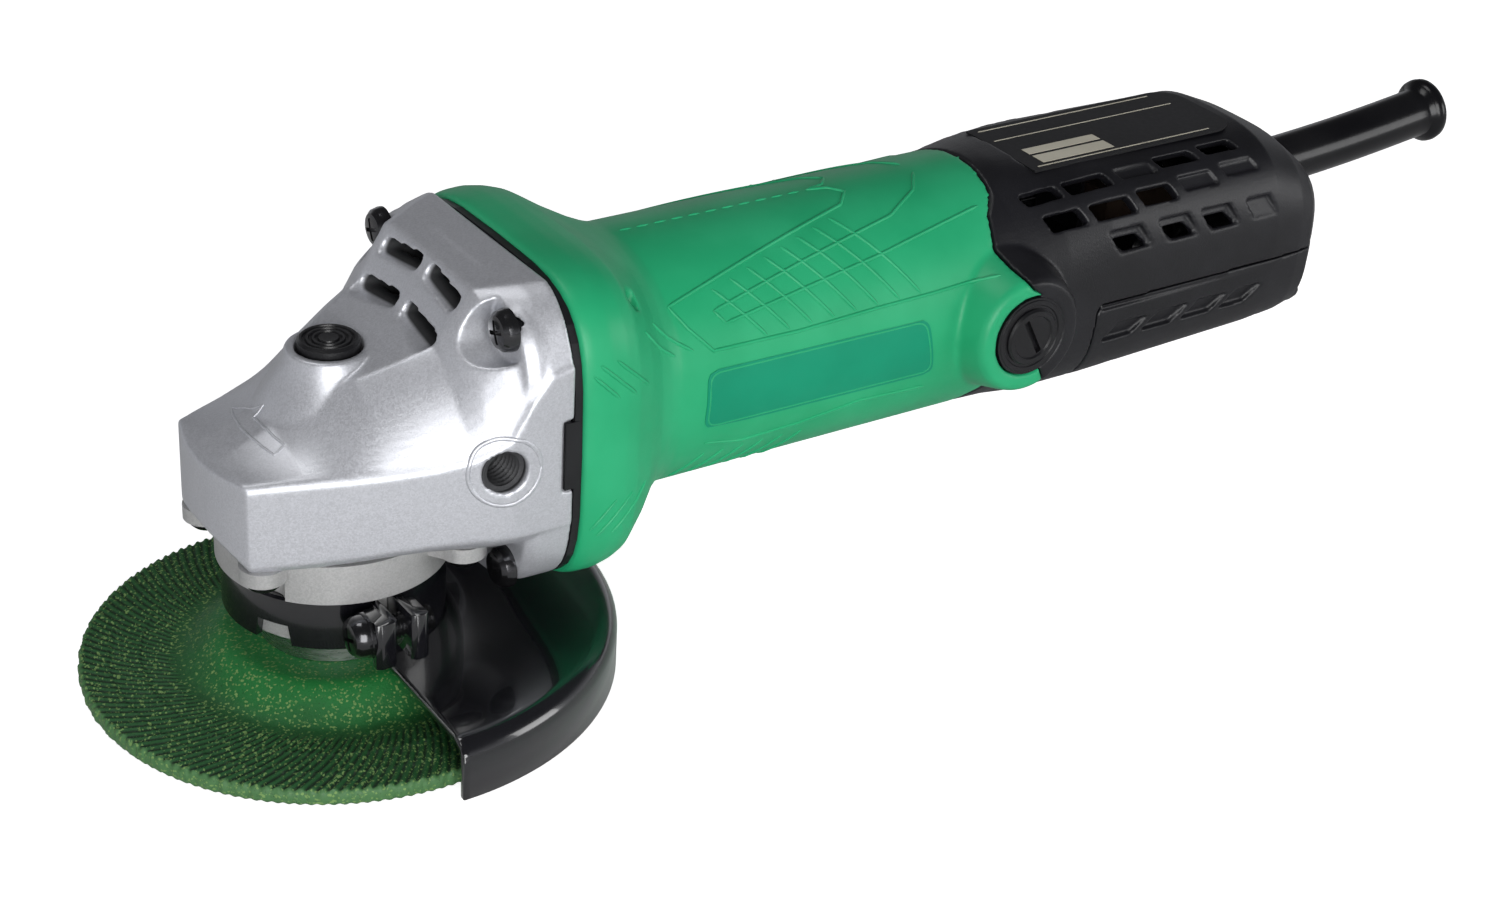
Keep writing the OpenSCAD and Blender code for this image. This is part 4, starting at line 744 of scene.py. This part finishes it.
cap = {"face": [(0, -3.2), (6.3, -3.2), (6.3, -0.5), (5.9, 0), (4.9, 0), (4.6, -0.35), (0, -0.35)],
       "ring": [(6.75, -2.6), (8.4, -2.6), (8.4, -0.9), (8.0, -0.4), (7.1, -0.4), (6.75, -0.8)],
       "slotLong": 4.3, "slotWide": 0.65, "turn": {-1: -62, 1: 152}}
long, wide = cap["slotLong"], cap["slotWide"]
caps = []
for side in (-1, 1):
    blade = prism([(-long, -wide), (long, -wide), (long, wide), (-long, wide)], -1.6, 2, spin(cap["turn"][side]))
    face = combine(turned(cap["face"], None, 72), [blade])
    face.data.transform(toSide(side, brushX, capFace, motorZ))
    caps += [face, turned(cap["ring"], toSide(side, brushX, capFace - 0.3, motorZ), 72)]
fit("brushCaps", join(caps, 30), "body", "black_plastic", "brush_caps")


# tail

tail = {
    "voxel": 0.4, "soften": 3, "keep": 0.4, "wall": 2.2, "gap": 0.3, "screwX": (178, 220), "screwY": 17,
    "splitZ": lowerHigh.z + 0.4, "lowerX": lowerLow.x - 0.4,
    # x, half width, top, bottom, squareness
    "rings": [(132, 26.75, 79.25, 25.75, 2), (147.4, 27, 79.5, 25.5, 2.05), (152, 27.1, 79.5, 25.9, 2.3),
              (158, 27.2, 79.3, 26.8, 2.6), (170, 27, 79.2, 28, 3), (218, 26.2, 78.4, 29.5, 3),
              (226, 25.7, 75, 30.6, 3.1), (230, 25, 71.7, 32, 3.2), (234, 21.5, 68.7, 36, 3.2)],
    # vents: x from, x to, degrees up the side, height, slant, kind (0 blind, 1 open, 2 stepped)
    "vents": [(151.4, 160.4, 53, 3.2, 1.2, 1), (162.2, 173.6, 53, 3.4, 1.2, 1), (176.4, 186.6, 54, 3, 1.2, 0),
              (188, 199, 55.5, 3, 1.2, 1), (201.4, 211, 57, 3, 1.2, 1),
              (154.6, 163.6, 40, 3.8, 1.6, 1), (166, 176.8, 40, 3.8, 1.6, 1), (179.2, 188.8, 41.5, 3.6, 1.6, 1),
              (191.4, 201, 43.5, 3.4, 1.4, 0), (203.8, 213.4, 45.5, 3.2, 1.4, 0),
              (170.4, 179.6, 26, 5.2, 3, 2), (184.2, 193, 26, 5.2, 3, 2), (196.4, 205, 26, 5.2, 3, 2),
              (209.4, 216.6, 26, 4.8, 2.4, 0)],
    "switchSide": 187,  # no vents behind this on the side of the switch
    "waves": [(171.5, 180.5), (183, 192), (194.5, 203.5), (206, 214)],
}


def tailRings(inset, first=0):  # the last two rings close the end, so they also move in x
    last = len(tail["rings"]) - 2
    return [shellRing(x - (inset if i >= last else 0), halfW - inset, top - inset, bottom + inset, power)
            for i, (x, halfW, top, bottom, power) in enumerate(tail["rings"]) if i >= first]


def surfaceReach(x, degrees):  # distance from the axis to the tail's skin
    for a, b in zip(tail["rings"], tail["rings"][1:]):
        if a[0] <= x <= b[0]:
            share = (x - a[0]) / (b[0] - a[0])
            halfW, top, bottom, power = (a[i] + (b[i] - a[i]) * share for i in range(1, 5))
            c, s = cos(radians(degrees)), sin(radians(degrees))
            halfH, low = (top - bottom) / 2, (top + bottom) / 2 - motorZ
            reach = 20
            while (abs(reach * c) / halfW) ** power + (abs(reach * s - low) / halfH) ** power < 1:
                reach += 0.05
            return reach
    return 27


def pocket(side, x0, x1, degrees, height, slant, low, high, inset=0.0):
    half = height / 2 - inset
    corners = [(x + lean * slant / 2, -lean * half) for x, lean in
               ((x0 + inset, 1), (x1 - inset, 1), (x1 - inset, -1), (x0 + inset, -1))]
    c, s = cos(radians(degrees)), sin(radians(degrees))
    place = Matrix(((1, 0, 0, 0), (0, -side * s, side * c, 0), (0, c, s, motorZ * mm), (0, 0, 0, 1)))
    return prism(corners, low, high, place)


def openings(side):
    made = []
    for x0, x1, degrees, height, slant, kind in tail["vents"]:
        if side > 0 and x1 > tail["switchSide"]:
            continue
        reach = surfaceReach((x0 + x1) / 2, degrees)
        made.append(pocket(side, x0, x1, degrees, height, slant, reach - (0.9, 6, 1.1)[kind], reach + 6))
        if kind == 2:  # a stepped, deep pocket
            made.append(pocket(side, x0, x1, degrees - 1.2, height, slant, reach - 6, reach + 1, 1.1))
    return made


gripPlace = at(gripLow.x + 0.4, 0, 60.2) @ spin(85, "Y")
front = [shellRing(x, 24.75, 77.3, 27.7, 2) for x in (130, 147.4)]
upper = loft(tailRings(0))
combine(upper, ears(body["earOut"] + 0.1), "UNION")
cuts = [prism(greenEdge(tail["gap"]), -70, 70, sideWays(1)),
        loft(front + tailRings(tail["wall"], 3))]
lowerX, splitZ = tail["lowerX"], tail["splitZ"]
lowerRoom = [(lowerX, 10), (250, 10), (250, splitZ), (lowerX + 1.2, splitZ), (lowerX, splitZ - 1.6)]
cuts.append(prism(lowerRoom, -60, 60, sideWays(1)))
plate = {"front": 157.6, "rear": 215.6, "half": 12.4, "deep": 0.75, "corner": 6}
plateLine = [(plate["front"], -plate["half"]), (plate["rear"] - plate["corner"], -plate["half"])]
for first, start, flip in ((1, -90, -1), (0, 0, 1)):  # the two rounded corners
    for i in range(first, 7):
        a = radians(start + 15 * i)
        plateLine.append((plate["rear"] - plate["corner"] + plate["corner"] * cos(a),
                          flip * (plate["half"] - plate["corner"]) + plate["corner"] * sin(a)))
plateLine.append((plate["front"], plate["half"]))
cuts.append(prism(plateLine, 79.2 - plate["deep"], 90))
for side in (-1, 1):
    cuts.append(rod(8.5, 30, toSide(side, brushX, capFace - 3.2, motorZ)))
    cuts.append(rod(7.3, 30, toSide(side, brushX, 10, motorZ)))
    cuts += openings(side)
cuts.append(rod(6.1, 20, toSide(1, 200, 18, 58)))
cuts.append(rod(5.85, 20, gripPlace))
combine(upper, cuts)
melt(upper, tail)
fit("tailShell", upper, "body", "tail_plastic", "tail_cover")
print("tail shell done")

under = loft(tailRings(0))
cuts = [loft(front[:1] + tailRings(tail["wall"], 3))]
front, top = lowerLow.x, lowerHigh.z
keepLow = [(front, 10), (250, 10), (250, top), (front + 1.4, top), (front, top - 1.8)]
combine(under, [prism(keepLow, -60, 60, sideWays(1))], "INTERSECT")
for side in (-1, 1):
    for x0, x1 in tail["waves"]:
        cuts.append(pocket(side, x0, x1, -18.5, 4.2, -4.5, surfaceReach(x0, -18.5) - 1.3, 40))
    for x in tail["screwX"]:
        cuts.append(rod(3.1, 40, at(x, side * tail["screwY"], 5)))
    cuts.append(pocket(side, 168, 228, -4.5, 0.9, 0, 24.9 + 1.3, 40))
combine(under, cuts)
tube = [(1.7, 44.8), (4.2, 44.8), (4.2, 50.8), (1.7, 50.8)]
wells = [turned(tube, at(x, side * tail["screwY"], 0), 40) for side in (-1, 1) for x in tail["screwX"]]
bead = [(0, -2.6), (2.2, -2.4), (2.8, 0), (2.2, 2.4), (0, 2.6)]
nubs = [turned(bead, alongX(230.6, side * 19, 38.4), 24) for side in (-1, 1)]
combine(under, nubs, "UNION")
melt(under, tail)
fit("lowerTailShell", join([under] + wells), "body", "tail_plastic", "lower_tail_cover")
print("lower tail done")

film = prism([(x + (0.35 if x < 160 else -0.35), y * 0.972) for x, y in plateLine], 78.25, 78.72)
fit("ratingFilm", crisp(film), "body", "plate_black", "rating_plate")
bars = [prism([(160, y0), (x1, y0), (x1, y1), (160, y1)], 78.7, 78.78)
        for x1, y0, y1 in ((208, -10.6, -10.3), (208, 10.3, 10.6), (210, 4.6, 4.85))]
fit("filmLines", join(bars), "body", "pale_plastic")
bars = [prism([(162.5, y0), (182, y0), (182, y1), (162.5, y1)], 78.7, 78.8)
        for y0, y1 in ((-9.2, -5.4), (-4.4, -1.6))]
fit("blankStickers", join(bars), "body", "pale_plastic")


# cord guard

sleeve = {"bore": 3.9, "radius": 5.7, "rim": 7.5, "sag": 0.7, "length": 60.2}
length, bore = sleeve["length"], sleeve["bore"]
outline = [(bore, 0.6), (8.4, 0.6), (8.4, 2.2), (5.9, 2.3), (sleeve["radius"], 4)]
outline += [(sleeve["radius"], 4 + (length - 9) * i / 24) for i in range(1, 25)]
outline += [(5.9, length - 4), (6.9, length - 3.2), (7.4, length - 2.5), (sleeve["rim"], length - 1.6),
            (7.3, length - 0.6), (6.7, length - 0.1), (5.4, length), (4.5, length - 0.3), (bore, length - 1)]
outline += [(bore, length - 2 - (length - 4) * i / 24) for i in range(25)]
grip = turned(outline, None, 72)
for v in grip.data.vertices:  # a slight upward sweep
    share = v.co.z / (length * mm)
    v.co.x += sleeve["sag"] * mm * sin(pi * min(max(share, 0), 1))
grip.data.transform(at(gripLow.x + 0.75, 0, 60.2) @ spin(85, "Y"))
combine(grip, [prism([(228, 66.2), (231.7, 66.2), (231.7, 75), (228, 75)], -20, 20, sideWays(1))])
fit("cordSleeve", crisp(grip, 40), "body", "cord_rubber", "cord_guard")


# guard

guard = {"radius": guardHigh.x, "top": guardHigh.z, "bottom": guardLow.z, "sheet": 1.6, "corner": 4.2,
         "collar": 21.9, "start": -91, "sweep": 180}
reach, sheet, corner = guard["radius"], guard["sheet"], guard["corner"]
top, bottom = guard["top"], guard["bottom"]


def bent(radius, degrees):  # a point on the hood's rounded corner
    a = radians(degrees)
    return reach - corner + radius * sin(a), top - corner + radius * cos(a)


outline = [(guard["collar"], top)] + [bent(corner, degrees) for degrees in range(0, 91, 6)]
outline += [(reach, bottom + 0.3), (reach - 0.3, bottom), (reach - sheet + 0.3, bottom), (reach - sheet, bottom + 0.3)]
outline += [bent(corner - sheet, degrees) for degrees in range(90, -1, -10)] + [(guard["collar"], top - sheet)]
rings = [stood(outline, radians(guard["start"] + guard["sweep"] * i / 120)) for i in range(121)]
fit("guardHood", rounded(loft(rings), 0.35, 2, 50), "guard", "guard_black", "wheel_guard")

collar = {"inner": 20.05, "outer": 21.85, "top": 25.6, "low": 15, "deep": 10.55, "split": 4.2}
inner, outer, top = collar["inner"], collar["outer"], collar["top"]
rings = []
for i in range(181):
    degrees = -90 + collar["split"] + (360 - 2 * collar["split"]) * i / 180
    turn = degrees % 360
    low = collar["deep"] if turn < 87 or turn > 271 else collar["low"]
    if 203 < turn < 222:  # relief at the front
        low = 19.3
    rings.append(stood([(inner, low), (inner, top - 0.2), (inner + 0.25, top), (outer - 0.5, top), (outer, top - 0.5),
                        (outer, low + 0.3), (outer - 0.3, low)], radians(degrees)))
band = loft(rings)
lugs = []
for side, edge in ((-1, 6), (1, 5)):  # bent sheet: one leg at the split, folded back at its end
    sheet = [(1.5, -20.6), (3.1, -20.3), (3.3, -27.5), (edge - 0.2, -28.6), (edge, -30.4), (edge - 1, -31), (2.4, -31),
             (1.5, -30.2)]
    block = [(1.6, -23.6), (edge - 0.6, -23.9), (edge, -24.6), (edge, -28.8), (1.6, -29)]
    lug = prism([(side * x, y) for x, y in sheet], 15.6, 25.4)
    combine(lug, [prism([(side * x, y) for x, y in block], 17.4, 25.2)], "UNION")
    lugs.append(rounded(lug, 0.45, 2, 25))
fit("guardCollar", join([crisp(band, 40)] + lugs), "guard", "guard_black", "guard_collar")

clampLow, clampHigh = boxOf("clamp_screw")
clampY, clampZ = (clampLow.y + clampHigh.y) / 2, (clampLow.z + clampHigh.z) / 2
head = screwHead(at(-6.6, clampY, clampZ) @ spin(-90, "Y"), 4.2, 3.3, 2.4)
outline = [(0, 0), (4.5, 0), (4.5, 0.5), (4.3, 0.7), (0, 0.7)]
washer = turned(outline, at(-6.02, clampY, clampZ) @ spin(-90, "Y"), 48)
outline = [(0, 0)]
for i in range(19):
    outline += [(2.05, i * 0.72), (2.5, i * 0.72 + 0.36)]
outline += [(1.9, 13.4), (0, 13.4)]
thread = turned(outline, alongX(-6.1, clampY, clampZ), 40)
fit("clampScrew", join([head, washer, thread], 28), "guard", "screw_black", "clamp_screw")
print("guard done")


# lock button and its spring

half = (buttonHigh.x - buttonLow.x) / 2
top = buttonHigh.z
button = {"tall": 4.4, "grooves": (0.78, 0.58, 0.38), "deep": 0.4}
low, deep = top - button["tall"], button["deep"]
outline = [(3.1, low), (half - 0.4, low), (half, low + 0.4), (half, top - 0.5), (half - 0.5, top)]
for share in button["grooves"]:
    radius = share * half
    outline += [(radius + 0.4, top), (radius + 0.2, top - deep), (radius - 0.2, top - deep), (radius - 0.4, top)]
outline += [(0, top - 0.05), (0, top - 2.4), (3.1, top - 2.4)]
fit("lockButton", crisp(turned(outline, steps=96), 25), "lock", "button_black", "lock_button")

coil = {"turns": 3.5, "wire": 0.42, "sides": 10, "keep": 0.065}
springLow, springHigh = boxOf("lock_spring")
radius = springHigh.x - coil["wire"]
steps = int(coil["turns"] * 40)
rings = []
for i in range(steps + 1):
    rise = springLow.z + coil["wire"] + (springHigh.z - springLow.z - 2 * coil["wire"]) * i / steps
    section = [(radius + coil["wire"] * c, rise + coil["wire"] * s) for c, s in around(coil["sides"])]
    rings.append(stood(section, tau * coil["turns"] * i / steps))
spring = fit("lockSpring", crisp(loft(rings), 50), "body", "plated_steel", "lock_spring")
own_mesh(spring)
print("lock done")


# wheel

wheel = {"rim": 49.8, "thick": 3.5, "bottom": wheelLow.z, "hub": 21, "rise": 5.5, "bore": 8.02,
         "ribs": 150, "ribFrom": 31.5, "swirl": 14, "ribHigh": 0.32, "rings": (38, 44)}


def wheelHeight(radius):  # the pressed disc's height over its flat part
    share = min(max((radius - wheel["hub"]) / 9.5, 0), 1)
    return wheel["rise"] * (1 - share * share * (3 - 2 * share))


def ribShape(radius, angle):
    if radius < wheel["ribFrom"]:
        return 0.0
    fade = min(1, (radius - wheel["ribFrom"]) / 2.5)
    swirl = radians(wheel["swirl"]) * (radius - wheel["ribFrom"]) / (wheel["rim"] - wheel["ribFrom"])
    wave = sin(wheel["ribs"] * (angle + swirl))
    height = wheel["ribHigh"] * fade * (wave * (1.3 - 0.3 * wave * wave))
    for ring in wheel["rings"]:
        height = max(height, 0.24 - abs(radius - ring) * 0.9)
    return height


upper = [wheel["bore"], 12, 16, 19] + [20 + i * 0.8 for i in range(15)] + [32 + i * 0.55 for i in range(32)] + [49.4]
lower = [49.3] + [48 - i * 1.6 for i in range(10)] + [31, 29, 27, 25, 23, 21, 17, wheel["bore"]]
bottom, top = wheel["bottom"], wheel["bottom"] + wheel["thick"]
count = wheel["ribs"] * 6
points, faces = [], []
for i in range(count):
    a = tau * i / count
    rag = 0.14 * sin(a * 71 + 2 * sin(a * 13)) + 0.10 * sin(a * 173 + 3 * sin(a * 29))
    rim = wheel["rim"] + rag  # the ragged edge
    loop = [(radius, top + wheelHeight(radius) + min(ribShape(radius, a), 0.35) - (0.15 if radius > 49 else 0.1))
            for radius in upper]
    loop += [(rim, top - 0.7), (rim + rag * 0.2, bottom + 1.8), (rim - 0.1, bottom + 0.7)]
    loop += [(radius, bottom + wheelHeight(radius + 0.5) - min(0, ribShape(radius, a) - 0.26) * 0.5)
             for radius in lower]
    points += stood(loop, a)
across = len(loop)
for i in range(count):
    n = (i + 1) % count
    for j in range(across):
        k = (j + 1) % across
        faces.append((i * across + j, n * across + j, n * across + k, i * across + k))
fit("grindingWheel", crisp(solid(points, faces), 75), "spindle", "wheel_green", "grinding_wheel")
print("wheel done")


# floor, light and camera

def backdrop(lit, plain, output):  # camera and transmission rays see the plain shader
    seen = lit.tree.nodes.new("ShaderNodeLightPath").outputs
    either = lit.sum("MAXIMUM", Wire(lit.tree, seen["Is Camera Ray"]), Wire(lit.tree, seen["Is Transmission Ray"]))
    picked = lit.node("ShaderNodeMixShader", None, {0: either, 1: lit, 2: plain})
    lit.tree.links.new(picked.socket, lit.tree.nodes[output].inputs[0])


stage = {"reach": 9000, "drop": 0.4, "white": 0.82, "sides": (0.66, 0.67, 0.70), "ceiling": (0.07, 0.07, 0.075)}
reach, level = stage["reach"], wheelLow.z - stage["drop"]
floor = solid([(x * reach, y * reach, level) for x, y in ((-1, -1), (1, -1), (1, 1), (-1, 1))], [(0, 1, 2, 3)])
paper = material("whitePaper", {"Base Color": (0.8, 0.8, 0.8), "Roughness": 0.9, "Specular IOR Level": 0.0},
                 lambda point: {})
lit = Wire(paper.node_tree, paper.node_tree.nodes["Principled BSDF"].outputs[0])
glow = lit.node("ShaderNodeEmission", None, {"Strength": stage["white"]})
backdrop(lit, lit.node("ShaderNodeAddShader", None, {0: lit, 1: glow}), "Material Output")
floor.name = "floor"
floor.data.materials.append(paper)
floor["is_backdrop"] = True

world = bpy.data.worlds.new("studio")
scene.world = world
world.use_nodes = True
coords = world.node_tree.nodes.new("ShaderNodeTexCoord")
sky = Wire(world.node_tree, coords.outputs["Generated"])
height = sky.node("ShaderNodeSeparateXYZ", None, {0: sky}, "Z")
shade = height.between(0.0, 0.5).blend(stage["sides"], stage["ceiling"])
dim = world.node_tree.nodes["Background"]
world.node_tree.links.new(shade.socket, dim.inputs["Color"])
white = sky.node("ShaderNodeBackground", None, {"Color": (1, 1, 1, 1)})
backdrop(Wire(world.node_tree, dim.outputs[0]), white, "World Output")

middle = (cadLow + cadHigh) / 2
lamps = {  # offset from the middle in metres, size, power
    "keyLamp": ((-0.50, -1.10, 0.30), 0.8, 14),
    "topLamp": ((-0.35, 0.25, 1.2), 0.5, 3.2),
    "sideLamp": ((0.95, -0.80, 0.25), 0.5, 3.5),
}
for name, (offset, size, power) in lamps.items():
    lamp = bpy.data.lights.new(name, "AREA")
    lamp.size, lamp.energy = size, power
    stand = bpy.data.objects.new(name, lamp)
    scene.collection.objects.link(stand)
    stand.location = middle + Vector(offset)
    stand.rotation_euler = (-Vector(offset)).to_track_quat("-Z", "Y").to_euler()

view = {"azimuth": -34.93, "elevation": 28.87, "roll": 3.465, "distance": 553.1, "lens": 66.66,
        "aim": (78.0, -27.9, 40.0)}
az, el, roll = (radians(view[key]) for key in ("azimuth", "elevation", "roll"))
backwards = Vector((sin(az) * cos(el), -cos(az) * cos(el), sin(el)))
level = Vector((cos(az), sin(az), 0))
upright = backwards.cross(level)
right = level * cos(roll) + upright * sin(roll)
up = upright * cos(roll) - level * sin(roll)
eye = bpy.data.cameras.new("eye")
eye.lens, eye.sensor_width = view["lens"], 36
camera = bpy.data.objects.new("eye", eye)
scene.collection.objects.link(camera)
spot = (Vector(view["aim"]) + backwards * view["distance"]) * mm
camera.matrix_world = Matrix.Translation(spot) @ Matrix((right, up, backwards)).transposed().to_4x4()
eye.clip_start, eye.clip_end = 0.01, 50
scene.camera = camera
scene.view_settings.view_transform = "Standard"

low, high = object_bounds()
